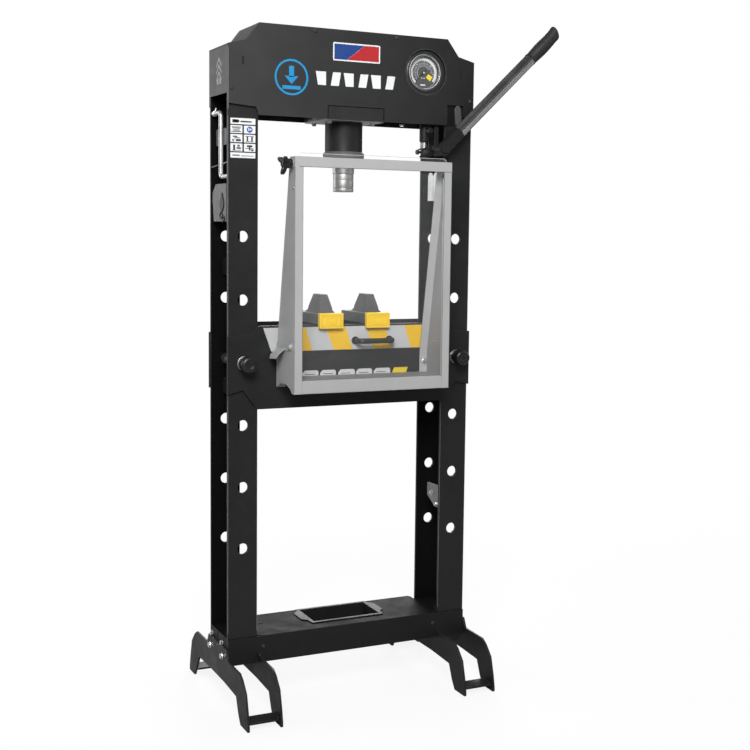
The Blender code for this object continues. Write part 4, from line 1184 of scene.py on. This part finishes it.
numerals = bmesh.new()
for k, word in enumerate(("0", "5", "10", "15", "20", "25")):
    a = math.radians(-135 + 230 * k / 5)
    curve = bpy.data.curves.new("numeral", "FONT")
    curve.body = word
    curve.size = 5.2
    curve.align_x, curve.align_y = "CENTER", "CENTER"
    curve.extrude = 0.08
    curve.resolution_u = 3
    text = bpy.data.objects.new("numeral", curve)
    bpy.context.scene.collection.objects.link(text)
    bpy.context.view_layer.update()
    made = bpy.data.meshes.new_from_object(text)
    place = (GAUGE_X + 29.4 * math.sin(a), DIAL_FACE - 0.12, GAUGE_Z + 29.4 * math.cos(a))
    made.transform(Matrix.Translation(place) @ Matrix.Rotation(math.pi / 2, 4, "X"))
    numerals.from_mesh(made)
    bpy.data.meshes.remove(made)
    bpy.data.objects.remove(text, do_unlink=True)
    bpy.data.curves.remove(curve)
piece("gauge_numerals", numerals, DIAL_INK, smooth=False)

hub = [(0, -69.2), (3.2, -69.2), (3.6, -68.4), (3.6, -68.0), (0, -68.0)]
piece("gauge_needle_hub", lathe(hub, "Y", steps=32, centre=gauge_centre, soft=(0.3, 3)),
      DIAL_INK, "gauge_pointer")
surround = [
    (47.6, -76.0), (48.2, -77.2), (50.6, -77.6), (51.6, -76.4), (54.0, -75.2), (57.6, -75.0),
    (58.6, -74.3), (58.6, -72.0), (47.6, -72.0),
]
piece("gauge_surround", lathe(surround, "Y", steps=128, centre=gauge_centre, soft=(0.5, 3)),
      paint("surround_black", (0.030, 0.030, 0.031), rough=0.34, rubbed_and_lit_edges=0.3))
# painted highlight: a paler lip round the edge of the gauge hole, where the plate edge catches
# light
lip = [
    (58.6, -82.25), (59.0, -82.9), (60.2, -82.9), (60.6, -82.2), (60.2, -82.05), (58.9, -82.05),
]
piece("gauge_hole_lip", lathe(lip, "Y", steps=128, centre=gauge_centre),
      paint("lip_painted_highlight", (0.05, 0.05, 0.052), rough=0.36, rubbed_and_lit_edges=0.6))

# ======================================================================================
# Beam: screws, slot tongue, plain plates and marks
# ======================================================================================
PLATE_FRONT = -82.0  # front face of the beam and of the bed
LEAF = 0.16  # thickness of a decal

for i, (x, z) in enumerate(((-335, 1582), (334.7, 1586), (-115, 1737), (114, 1738)), 1):
    for where, y, axis in (("front", PLATE_FRONT, FRONT), ("rear", 76.8, BACK)):
        piece(f"beam_{where}_screw_{i}", button_screw((x, y, z), axis, 5.6, 3.0, 2.5), DARK_BOLT)
# a faint outline over the cylinder, and the face inside it
tab = [
    (-79.6, 1521), (-79.6, 1553.6), (79.9, 1553.6), (79.9, 1521), (77.4, 1521), (77.4, 1551.1),
    (-77.4, 1551.1), (-77.4, 1521),
]
tab_seam = paint(
    "tab_seam", (0.004, 0.004, 0.004), rough=0.62, rubbed_and_lit_edges=0.0, dust=0.0, gloss=0.08
)
piece("beam_tab_line", prism(tab, "Y", -82.25, -81.95), tab_seam, smooth=False)
piece("beam_tab_face", prism(rect(-77.4, 77.4, 1520.2, 1550.9), "Y", -82.12, -81.97),
      paint("tab_black", (0.0195, 0.0196, 0.0200), rough=0.46, rubbed_and_lit_edges=0.1), smooth=False)
# grey tongue in the slot beside the pump
tongue = [(293, 1520), (311, 1520), (308, 1564), (302, 1574), (295, 1574), (289, 1562)]
piece("pump_slot_tongue", prism(rounded(tongue, 4), "Y", -80.6, -77.4),
      paint("tongue_grey", (0.070, 0.071, 0.073), rough=0.36, rubbed_and_lit_edges=0.35), bevel=0.7)


def decal(name, outlines, material, level=PLATE_FRONT, lift=0.03, axis="Y", sign=-1):
    """Thin leaves that stand off a face at level, towards sign along the axis."""
    near, far = sorted((level + sign * lift, level + sign * (lift + LEAF)))
    shapes = [prism(outline, axis, near, far) for outline in outlines]
    piece(name, merged(*shapes), material, smooth=False)


# two-tone badge with a white rim
decal("badge_rim", [rounded(rect(-66, 66, 1667, 1713), 4)], WHITE_FILM)
decal("badge_left", [[(-62.5, 1670.5), (-28.3, 1670.5), (21.7, 1709.5), (-62.5, 1709.5)]],
      film("badge_blue", (0.013, 0.050, 0.215)), lift=0.22)
decal("badge_right", [[(-27.7, 1670.5), (62.5, 1670.5), (62.5, 1709.5), (22.3, 1709.5)]],
      film("badge_red", (0.42, 0.017, 0.024)), lift=0.22)
# six slanted bars in two alternating shapes: offsets of the corners along x
BAR_SHAPES = ((5, 27, 27, -1), (2, 24, 30, 8))
bars = []
for k in range(6):
    x = -112 + k * 38.4
    bars.append([(x + dx, z) for dx, z in zip(BAR_SHAPES[k % 2], (1603, 1603, 1637, 1637))])
decal("beam_plain_bars", bars, WHITE_FILM)
# ring with a downward arrow over a bar
MARK_X, MARK_Z = -178.5, 1617
mark = []
for k in range(64):
    start, end = math.tau * k / 64, math.tau * (k + 1) / 64
    corners = ((40, start), (45, start), (45, end), (40, end))
    mark.append([(MARK_X + r * math.cos(a), MARK_Z + r * math.sin(a)) for r, a in corners])
mark.append(rect(-185, -172, 1645, 1618))
mark.append([(-197, 1620), (-160, 1620), (MARK_X, 1600)])
mark.append(rect(-203, -154, 1587, 1596))
decal("beam_plain_mark", mark, film("mark_blue", (0.012, 0.24, 0.50)))

# chevrons and two blocks on both side covers
CHEVRON_Y = -9.0
chevrons = []
for z in (1663, 1646, 1629):
    for side in (-1, 1):
        tip = CHEVRON_Y + side * 21
        chevrons.append([(CHEVRON_Y, z), (tip, z - 20), (tip, z - 26), (CHEVRON_Y, z - 7)])
chevrons += [rect(-26, -14, 1596, 1612), rect(-5, 8, 1596, 1612)]
chevron_film = film("chevron_grey", (0.30, 0.30, 0.305))
decal("side_chevrons_left", chevrons, chevron_film, level=span("left_side_cover").left, axis="X")
decal("side_chevrons_right", chevrons, chevron_film, level=span("right_side_cover").right,
      axis="X", sign=1)

# ======================================================================================
# Bed: striped panel, label strips
# ======================================================================================
panel = [(-252, 985), (252, 985), (230, 924), (-230, 924)]
piece("hazard_panel", prism(panel, "Y", -82.55, -82.03), GREY_FILM, bevel=0.12)
# left and right x of each stripe at the top, then at the bottom
STRIPES = (
    (-82, -25, -57, -4), (34, 88, 56, 109), (146, 203, 167, 224), (-196, -137, -172, -118),
)
stripes = []
for top_left, top_right, low_left, low_right in STRIPES:
    outline = [(top_left, 984.6), (top_right, 984.6), (low_right, 924.4), (low_left, 924.4)]
    stripes.append(prism(outline, "Y", -82.70, -82.56))
piece("hazard_stripes", merged(*stripes), YELLOW_FILM, smooth=False)
STRIPS = ((-146, -100), (-96, -51), (-45, 3), (6, 53), (57, 106))  # left and right x
strips = [
    [(a, 854), (b, 854), (b, 868), (b - 4, 872), (a + 8, 872), (a + 1, 865)] for a, b in STRIPS
]
decal("bed_label_strips", strips, film("strip_pale", (0.50, 0.505, 0.51)))
lines = [rect(a + 8, a + 36, 861, 862.6) for a, _ in STRIPS]
decal("bed_label_lines", lines, INK, lift=0.22)
decal("bed_label_yellow", [[(109, 854), (152, 854), (158, 872), (118, 872)]], LIME_FILM)


# ======================================================================================
# Press blocks: raised borders and grooves on the end caps
# ======================================================================================
def border(x, z, half_width, half_height, width, inset, front, back):
    """Four bars round a rectangle; the uprights stop short by inset."""
    left, right = x - half_width, x + half_width
    low, high = z - half_height, z + half_height
    bars = (
        (left, right, high - width, high), (left, right, low, low + width),
        (left, left + width, low + inset, high - inset),
        (right - width, right, low + inset, high - inset),
    )
    return [box(a, b, front, back, c, d) for a, b, c, d in bars]


for label, _ in SIDES:
    cap = span(f"{label}_block_cap")
    x, z, front = (cap.left + cap.right) / 2, (cap.bottom + cap.top) / 2, cap.front
    raised = []
    for half_width, half_height, width in ((27.5, 14.5, 1.5), (15.5, 8.5, 1.3)):
        raised += border(x, z, half_width, half_height, width, width * 0.9,
                         front - 0.8, front + 0.5)
    raised.append(box(x - 10, x + 10, front - 0.5, front + 0.5, z - 2.2, z + 2.2))
    piece(f"{label}_cap_border", merged(*raised), YELLOW, f"{label}_block",
          bevel=0.3)
    grooves = []
    for half_width, half_height in ((28.6, 15.6), (24.6, 11.8), (13.6, 6.8)):
        grooves += border(x, z, half_width, half_height, 0.55, 0.6, front - 0.30, front + 0.2)
    piece(f"{label}_cap_grooves", merged(*grooves),
          paint("cap_groove", (0.42, 0.27, 0.012), rough=0.5), f"{label}_block", smooth=False)

# ======================================================================================
# Left post label: tiles with plain marks
# ======================================================================================
POST_FRONT = -74.0
# left, right, bottom, top
tiles = [(-336, -271, 1494, 1509), (-336, -271, 1411, 1424)]
for low, high in ((1472, 1491), (1449.5, 1469), (1427, 1446.5)):
    tiles += [(-336, -305, low, high), (-301, -271, low, high)]
decal("post_label_tiles", [rounded(rect(*tile), 1.2) for tile in tiles], WHITE_FILM,
      level=POST_FRONT)
# left, bottom, right, top
MARKS = (
    (-327, 1499, -313, 1504), (-310, 1499, -281, 1502.5), (-331, 1483, -310, 1485),
    (-329, 1478, -312, 1480.4), (-330, 1462, -318, 1465), (-322, 1452, -309, 1457),
    (-332, 1455, -325, 1457), (-294, 1453, -290, 1464), (-282, 1453, -278, 1464),
    (-329, 1430, -324, 1443), (-320, 1433, -309, 1437), (-293, 1438, -279, 1443),
    (-288, 1430, -284, 1438), (-331, 1416, -312, 1418.6), (-331, 1497.5, -316, 1505.5),
    (-333, 1486, -309, 1487.6), (-334, 1474.6, -308, 1476.6), (-326, 1459, -311, 1461),
    (-331, 1451, -327, 1454), (-297, 1464, -275, 1465.4), (-296, 1451.5, -276, 1452.8),
    (-332, 1428.6, -309, 1430), (-318, 1438.5, -312, 1443), (-297, 1434, -276, 1435.6),
    (-282, 1428.5, -276, 1433), (-308, 1415.5, -276, 1417),
)
decal("post_label_ink", [rect(a, c, b, d) for a, b, c, d in MARKS], INK, level=POST_FRONT,
      lift=0.22)
decal("post_label_disc", [circle(-286, 1481.5, 7.6, 40)], BLUE_FILM, level=POST_FRONT, lift=0.22)
disc_mark = [rect(-289.5, -287.5, 1478, 1486), rect(-286, -281.5, 1480, 1484)]
decal("post_label_disc_mark", disc_mark, WHITE_FILM, level=POST_FRONT, lift=0.40)

# ======================================================================================
# Fasteners
# ======================================================================================
for label, side in SIDES:
    outward, inward = (side, 0, 0), (-side, 0, 0)
    for i, (y, z) in enumerate(((56, 161.6), (-28, 159.6))):
        bolt(f"{label}_end_bolt_{i + 1}", (side * 343.0, y, z), outward, across=12, height=4.4,
             washer=8.2, spin=0.2 + i)
    for i, (y, z) in enumerate(((54, 131), (-49, 131.5))):
        bolt(f"{label}_leg_bolt_{i + 1}", (side * 349.6, y, z), outward, across=13, height=4.8,
             washer=9.0, spin=0.5 + i)
        bolt(f"{label}_leg_nut_{i + 1}", (side * 256.6, y, z), inward, across=12, height=4.6,
             washer=8.6, spin=0.1 + i, thread=2.0)
    screw = button_screw((side * 248, -78.3, 153), FRONT, 5.0, 2.4, 2.2)
    piece(f"{label}_base_screw_front", screw, DARK_BOLT)
    for where, y in (("front", -47), ("rear", 60)):
        bolt(f"{label}_plate_screw_{where}", (side * 61, y, 1517.0), DOWN, across=12, height=5.0,
             washer=8.0, spin=0.3)
bolt("beam_lower_bolt", (144, -56, 1517.0), DOWN, across=11, height=4.0, washer=7.5)
bolt("right_post_bolt", (288, POST_FRONT, 1467.5), FRONT, across=8, height=3.0, washer=5.6)
bolt("right_bracket_bolt", (267, -23, 509), LEFT, across=11, height=4.5, washer=8.0)
bolt("right_bracket_bolt_low", (267, -49, 481), LEFT, across=9, height=3.6, washer=6.2, spin=0.4)
# name, centre, axis, radius, height
RIVETS = (
    ("latch_rivet", (-218.3, -187.5, 945.5), LEFT, 4.2, 1.6),
    ("guard_rivet_1", (-216, -198.6, 1336), LEFT, 3.8, 1.6),
    ("guard_rivet_2", (216, -109, 924), RIGHT, 3.8, 1.6),
    ("guard_rivet_3", (216, -198.6, 1336), RIGHT, 3.8, 1.6),
    ("guard_rivet_inner_right", (213.5, -130, 944), LEFT, 3.6, 1.8),
    ("guard_rivet_inner_left", (-213.5, -130, 944), RIGHT, 3.6, 1.8),
)
for name, *shape in RIVETS:
    piece(name, rivet(*shape), BOLT)
for label, side in reversed(SIDES):
    bolt(f"guard_flange_bolt_{label}", (side * 205, -84.9, 888), FRONT, across=11, height=4.6,
         washer=8.0)
bolt("window_stop_bolt", (196, -206.2, 1379), BACK, across=8, height=1.6, material=DARK_BOLT)
piece("window_bolt", button_screw((184, -204.0, 1409), FRONT, 4.0, 1.8, 1.8), BOLT, "window")

# ======================================================================================
# Guard: top rail fold, fold lines and sill on the front face
# ======================================================================================
guard = span("guard_frame")
left, right, front, low, high = guard.left, guard.right, guard.front, guard.bottom, guard.top
rail = rounded([
    (left + 0.4, high - 0.5), (right - 0.4, high - 0.5), (right - 0.4, high - 24.5),
    (left + 12, high - 24.5), (left + 0.4, high - 15),
], 4.0)
piece("guard_rail_fold", prism(rail, "Y", front - 0.75, front - 0.03), GREY,
      bevel=0.3)
# painted shadow: a dark strip under the rail fold
shadow = rect(left + 13, right - 1, high - 25.4, high - 24.5)
piece("guard_rail_shadow", prism(shadow, "Y", front - 0.3, front - 0.02), RAIL_SHADOW_BLACK, smooth=False)
lines = [
    box(a, b, front - 0.12, front - 0.01, low + 3, high - 25)
    for a, b in ((left + 0.1, left + 0.9), (left + 21.0, left + 21.9),
                 (right - 21.9, right - 21.0), (right - 0.9, right - 0.1))
]
piece("guard_fold_lines", merged(*lines),
      paint("guard_fold_shadow", (0.12, 0.12, 0.122), rough=0.5, rubbed_and_lit_edges=0.3), smooth=False)
sill = rounded(rect(left + 21.5, right - 21.5, low + 1.0, low + 32.2), 1.2)
piece("guard_sill_fold", prism(sill, "Y", front - 0.65, front - 0.03), GREY,
      bevel=0.25)

# ======================================================================================
# Stored items in the left post
# ======================================================================================
piece("rod_clip_plate", prism(rounded(rect(-24, 60, 1446, 1488), 5), "X", -330.2, -327.8),
      BRACKET_GREY, bevel=0.4)
piece("rod_clip_stem", box(-327.8, -300, 54, 57, 1455, 1479), BRACKET_GREY, bevel=0.3)
stored = span("stored_bent_rod")
x = (stored.left + stored.right) / 2
nut = [(0, 51), (6.6, 51), (7.6, 53), (7.6, 57), (5.4, 59), (0, 59)]
upper_wing = arc_path([(x, 52, 1531), (x + 3, 54, 1540), (x + 3.6, 55, 1542)], 4, 4)
rear_wing = arc_path([(x, 58, 1528), (x - 3.0, 66, 1530), (x - 3.4, 68, 1530.6)], 4, 4)
wing_nut = merged(
    lathe(nut, "Y", steps=36, centre=(x, 0, 1528), soft=(0.8, 3)),
    tube(upper_wing, 3.0, 2.2, 16, round_ends=1.6),
    tube(rear_wing, 3.4, 2.2, 16, round_ends=1.6),
)
piece("rod_end_nut", wing_nut, ROD_ZINC)
wire = arc_path([
    (-341, 64, 1392), (-341, 30, 1394), (-333, 22, 1398), (-329, 6, 1399), (-333, -10, 1397),
    (-341, -18, 1396), (-341, -58, 1400),
], 4, 5)
piece("rod_wire_clip", tube(evenly(wire, 2.0), 1.5, steps=12, round_ends=1.2), SHADED_DULL_ZINC)
blade = rounded([
    (-21.2, 1327), (-29, 1312), (-36, 1300), (-34, 1290), (-25, 1279), (-17, 1279), (-6, 1290),
    (-4, 1300), (-13, 1312),
], 4)
piece("hex_key_grip", prism(blade, "X", -342.6, -339.8),
      moulded("key_black", (0.010, 0.010, 0.0105), rough=0.4), bevel=1.0, segments=3)
knot = [(-21, 1280), (-2, 1272), (-8, 1262), (-34, 1266), (-46, 1259), (-30, 1252)]  # y, z
knot = arc_path([(-341.2, y, z) for y, z in knot], 4, 5)
piece("hex_key_shank", tube(evenly(knot, 2.5), 3.0, 1.4, steps=12, round_ends=1.4), DARK_BOLT)
boss = lathe(drum(7.0, -342.8, -339.8), "X", steps=28, centre=(0, -20, 1266), soft=(0.6, 3))
piece("hex_key_boss", boss, KNOB)
piece("post_inner_screw", button_screw((-300, 63.0, 1569), FRONT, 5.0, 2.4, 2.0), DARK_BOLT)

# ======================================================================================
# Welds
# ======================================================================================
for label, side in SIDES:
    for where in ("front", "rear"):
        foot = span(f"left_{where}_foot_plate")
        for leg, x in (("inner", side * 263.2), ("outer", side * 343.0)):
            bead = weld((x, foot.front + 7, 20.2), (x, foot.back - 5, 20.2), 2.2)
            piece(f"{label}_{where}_foot_weld_{leg}", bead, BLACK)
    for z in (1116, 1158):
        bead = weld((side * 296, -64.9, z), (side * 311, -64.9, z), 2.0)
        piece(f"{label}_upper_spacer_weld_{z}", bead, BLACK)
    for z in (830, 942):
        bead = weld((side * 243.6, -73.2, z - 16), (side * 243.6, -73.2, z + 16), 2.4)
        piece(f"{label}_bed_weld_{z}", bead, BLACK)

# pump plunger: black head, pin head in front, knob on the left
PLUNGER_X, PLUNGER_Y, PLUNGER_PIN_Z = 214.0, -49.5, 1447
clevis = [(0, 1458), (8.4, 1458), (9.0, 1456.6), (9.0, 1440.5), (7.4, 1438.6), (0, 1438.6)]
clevis = lathe(clevis, "Z", steps=40, centre=(PLUNGER_X, PLUNGER_Y, 0), soft=(0.6, 3))
piece("plunger_clevis", clevis, DARK_BOLT, "plunger")
head = [(0, -65.4), (5.6, -65.4), (7.2, -64.2), (7.2, -62.6), (0, -62.6)]
head = lathe(head, "Y", steps=36, centre=(PLUNGER_X, 0, PLUNGER_PIN_Z), soft=(0.5, 3))
piece("plunger_pin_head", head, DARK_BOLT, "plunger")
stub = [(0, 190), (5.2, 190), (6.6, 191.6), (6.6, 197), (3.4, 198), (3.4, 206), (0, 206)]
stub = lathe(stub, "X", steps=36, centre=(0, PLUNGER_Y, PLUNGER_PIN_Z), soft=(0.5, 3))
piece("plunger_pin_knob", stub, KNOB, "plunger")

# ======================================================================================
# Painted edge highlights, slot fillers and other small trim
# ======================================================================================
# painted highlight: thin pale strips along the outer and inner edges of the post front plates,
# standing in for the light the edges catch, which also pass for rubbed edges
for label, side in SIDES:
    plate = span(f"{label}_post_front_plate")
    inner, outer = (plate.right, plate.left) if side < 0 else (plate.left, plate.right)
    front = plate.front
    a, b = sorted((outer, outer - side * 1.1))
    piece(f"{label}_post_edge_line", box(a, b, front - 0.22, front - 0.02, 196, 1515), EDGE_HIGHLIGHT_GREY,
          smooth=False)
    a, b = sorted((inner, inner + side * 0.8))
    piece(f"{label}_post_inner_line", box(a, b, front - 0.20, front - 0.02, 196, 770), EDGE_HIGHLIGHT_GREY,
          smooth=False)
# painted highlight along the left edge of the beam front
left = span("beam_front_plate").left
piece("beam_left_edge_line", box(left, left + 1.3, -82.24, -82.02, 1530, 1680), EDGE_HIGHLIGHT_GREY,
      smooth=False)
for label, side in SIDES:
    a, b = sorted((side * 302.4, side * 309.6))
    piece(f"beam_slot_filler_{label}", box(a, b, -80.9, -79.4, 1639.4, 1660.6), BLACK, bevel=0.2)
# shaded recess beside the pump's grey tongue
piece("pump_slot_recess", box(267, 289, -76.2, -74.25, 1519.5, 1569), DEEP_BLACK, smooth=False)
# grey flared skirt at the foot of the cylinder
foot = cylinder.bottom
skirt = [
    (49.7, 1441.2), (50.6, 1440.0), (54.2, 1437.4), (54.6, 1436.2), (54.6, foot + 2.2),
    (52.4, foot - 0.3), (46, foot - 0.3), (46, foot + 0.1), (49.7, foot + 0.4),
]
piece("cylinder_skirt", lathe(skirt, "Z", steps=112, soft=(0.5, 3)), COLLAR_GREY)
# thin pale line round the top of the window
window = span("guard_window")
left, right, y, top = window.left + 0.3, window.right - 0.3, window.front + 1.4, window.top
line = [(left, y, top - 26), (left, y, top - 0.4), (right, y, top - 0.4), (right, y, top - 26)]
piece("window_edge_line", tube(evenly(arc_path(line, 9.0, 6), 6.0), 0.55, steps=8),
      film("window_edge", (0.50, 0.51, 0.52), rough=0.2), "window")


# ======================================================================================
# Camera, light, floor (not part of the object), in metres
# ======================================================================================
def add_camera(scene):
    cam = bpy.data.cameras.new("camera")
    obj = bpy.data.objects.new("camera", cam)
    scene.collection.objects.link(obj)
    yaw, pitch, roll = (math.radians(v) for v in (26.278, -5.452, 0.813))
    level = math.cos(pitch)
    forward = Vector((math.sin(yaw) * level, math.cos(yaw) * level, math.sin(pitch)))
    right = Vector((math.cos(yaw), -math.sin(yaw), 0.0))
    up = right.cross(forward)
    rolled_right = right * math.cos(roll) + up * math.sin(roll)
    rolled_up = up * math.cos(roll) - right * math.sin(roll)
    pose = Matrix((rolled_right, rolled_up, -forward)).transposed().to_4x4()
    pose.translation = Vector((-1.3233, -3.1183, 1.2284)) + SHIFT
    obj.matrix_world = pose
    cam.sensor_width = 36.0
    cam.lens = 60.57216
    cam.shift_x = -0.05173333
    cam.shift_y = -0.02753333
    cam.clip_end = 100
    scene.camera = obj


def add_world(scene):
    """White to the camera; a soft grey-to-white gradient, brighter above, for the light."""
    world = bpy.data.worlds.new("studio")
    scene.world = world
    world.use_nodes = True
    tree = world.node_tree
    tree.nodes.clear()
    new, link = tree.nodes.new, tree.links.new
    out = new("ShaderNodeOutputWorld")
    seen, lit = new("ShaderNodeBackground"), new("ShaderNodeBackground")
    seen.inputs["Color"].default_value = (1.0, 1.0, 1.0, 1.0)
    seen.inputs["Strength"].default_value = 1.0
    lit.inputs["Strength"].default_value = 0.34
    path = new("ShaderNodeLightPath")
    mixer = new("ShaderNodeMixShader")
    coords = new("ShaderNodeTexCoord")
    split = new("ShaderNodeSeparateXYZ")
    ramp = new("ShaderNodeValToRGB")
    low, high = ramp.color_ramp.elements
    low.position, low.color = 0.30, (0.42, 0.42, 0.43, 1.0)
    high.position, high.color = 0.85, (1.0, 1.0, 1.0, 1.0)
    # height from -1..1 to 0..1
    shift = new("ShaderNodeMath")
    shift.operation = "MULTIPLY_ADD"
    shift.inputs[1].default_value = 0.5
    shift.inputs[2].default_value = 0.5
    link(coords.outputs["Generated"], split.inputs[0])
    link(split.outputs["Z"], shift.inputs[0])
    link(shift.outputs[0], ramp.inputs["Fac"])
    link(ramp.outputs["Color"], lit.inputs["Color"])
    link(path.outputs["Is Camera Ray"], mixer.inputs[0])
    link(lit.outputs[0], mixer.inputs[1])
    link(seen.outputs[0], mixer.inputs[2])
    link(mixer.outputs[0], out.inputs["Surface"])


# name, place, target, width, height, power in watts
LIGHTS = (
    ("key", (-1.7, -3.3, 3.1), (-0.2, 0, 1.55), 1.5, 1.5, 72),
    ("fill", (3.6, -1.6, 2.4), (0, 0, 1.1), 1.6, 2.4, 18),
    ("rim", (1.4, 3.6, 2.6), (0, 0, 1.0), 2.2, 2.2, 92),
    ("back", (-2.8, 3.2, 1.9), (0, 0, 1.0), 1.6, 2.0, 34),
    ("side", (-3.6, 0.2, 2.9), (-0.3, 0, 1.7), 1.0, 1.2, 9),
)


def add_lights(scene):
    for name, place, target, width, height, power in LIGHTS:
        light = bpy.data.lights.new(name, "AREA")
        light.shape = "RECTANGLE"
        light.size = width
        light.size_y = height
        light.energy = power
        if name == "key":
            light.spread = math.radians(110)
        obj = bpy.data.objects.new(name, light)
        scene.collection.objects.link(obj)
        obj.location = place
        aim = Vector(target) - Vector(place)
        obj.rotation_euler = aim.to_track_quat("-Z", "Y").to_euler()


def floor_material():
    """Pale and matt near the object, fading to pure white far away."""
    mat = Graph("studio_floor")
    distance = mat.node("ShaderNodeVectorMath", operation="LENGTH")
    mat.link(mat.coords, distance.inputs[0])
    far = mat.ramp(distance.outputs["Value"], between=(0.7, 3.2), out=(0.87, 1.0), smooth=True)
    cloud = mat.noise(scale=1.3, detail=3.0)
    cloud = mat.ramp(cloud, between=(0.3, 0.7), out=(0.90, 0.93))
    # darker to bounced light than to the camera
    seen = mat.ramp(mat.camera_ray(), between=(0.0, 1.0), out=(0.45, 1.0))
    tone = mat.times(cloud, seen)
    colour = mat.node("ShaderNodeCombineColor")
    for i in range(3):
        mat.link(tone, colour.inputs[i])
    mat.set(Base_Color=colour.outputs[0], Roughness=0.75)
    glow = mat.node("ShaderNodeEmission")
    glow.inputs["Color"].default_value = (1, 1, 1, 1)
    glow.inputs["Strength"].default_value = 1.0
    mixer = mat.node("ShaderNodeMixShader")
    mat.put(mixer.inputs[0], mat.times(far, mat.camera_ray()))
    mat.link(mat.shader.outputs[0], mixer.inputs[1])
    mat.link(glow.outputs[0], mixer.inputs[2])
    mat.link(mixer.outputs[0], mat.output.inputs["Surface"])
    return mat.material


def add_floor(scene):
    disc = bmesh.new()
    bmesh.ops.create_circle(disc, cap_ends=True, segments=96, radius=24.0)
    mesh = bpy.data.meshes.new("floor")
    disc.to_mesh(mesh)
    disc.free()
    floor = bpy.data.objects.new("floor", mesh)
    scene.collection.objects.link(floor)
    floor.location = SHIFT + Vector((0, 0, -0.0004))
    mesh.materials.append(floor_material())


scene = bpy.context.scene
add_camera(scene)
scene.view_settings.view_transform = "Standard"
scene.view_settings.look = "None"
scene.view_settings.exposure = 0.0
add_world(scene)
add_lights(scene)
add_floor(scene)
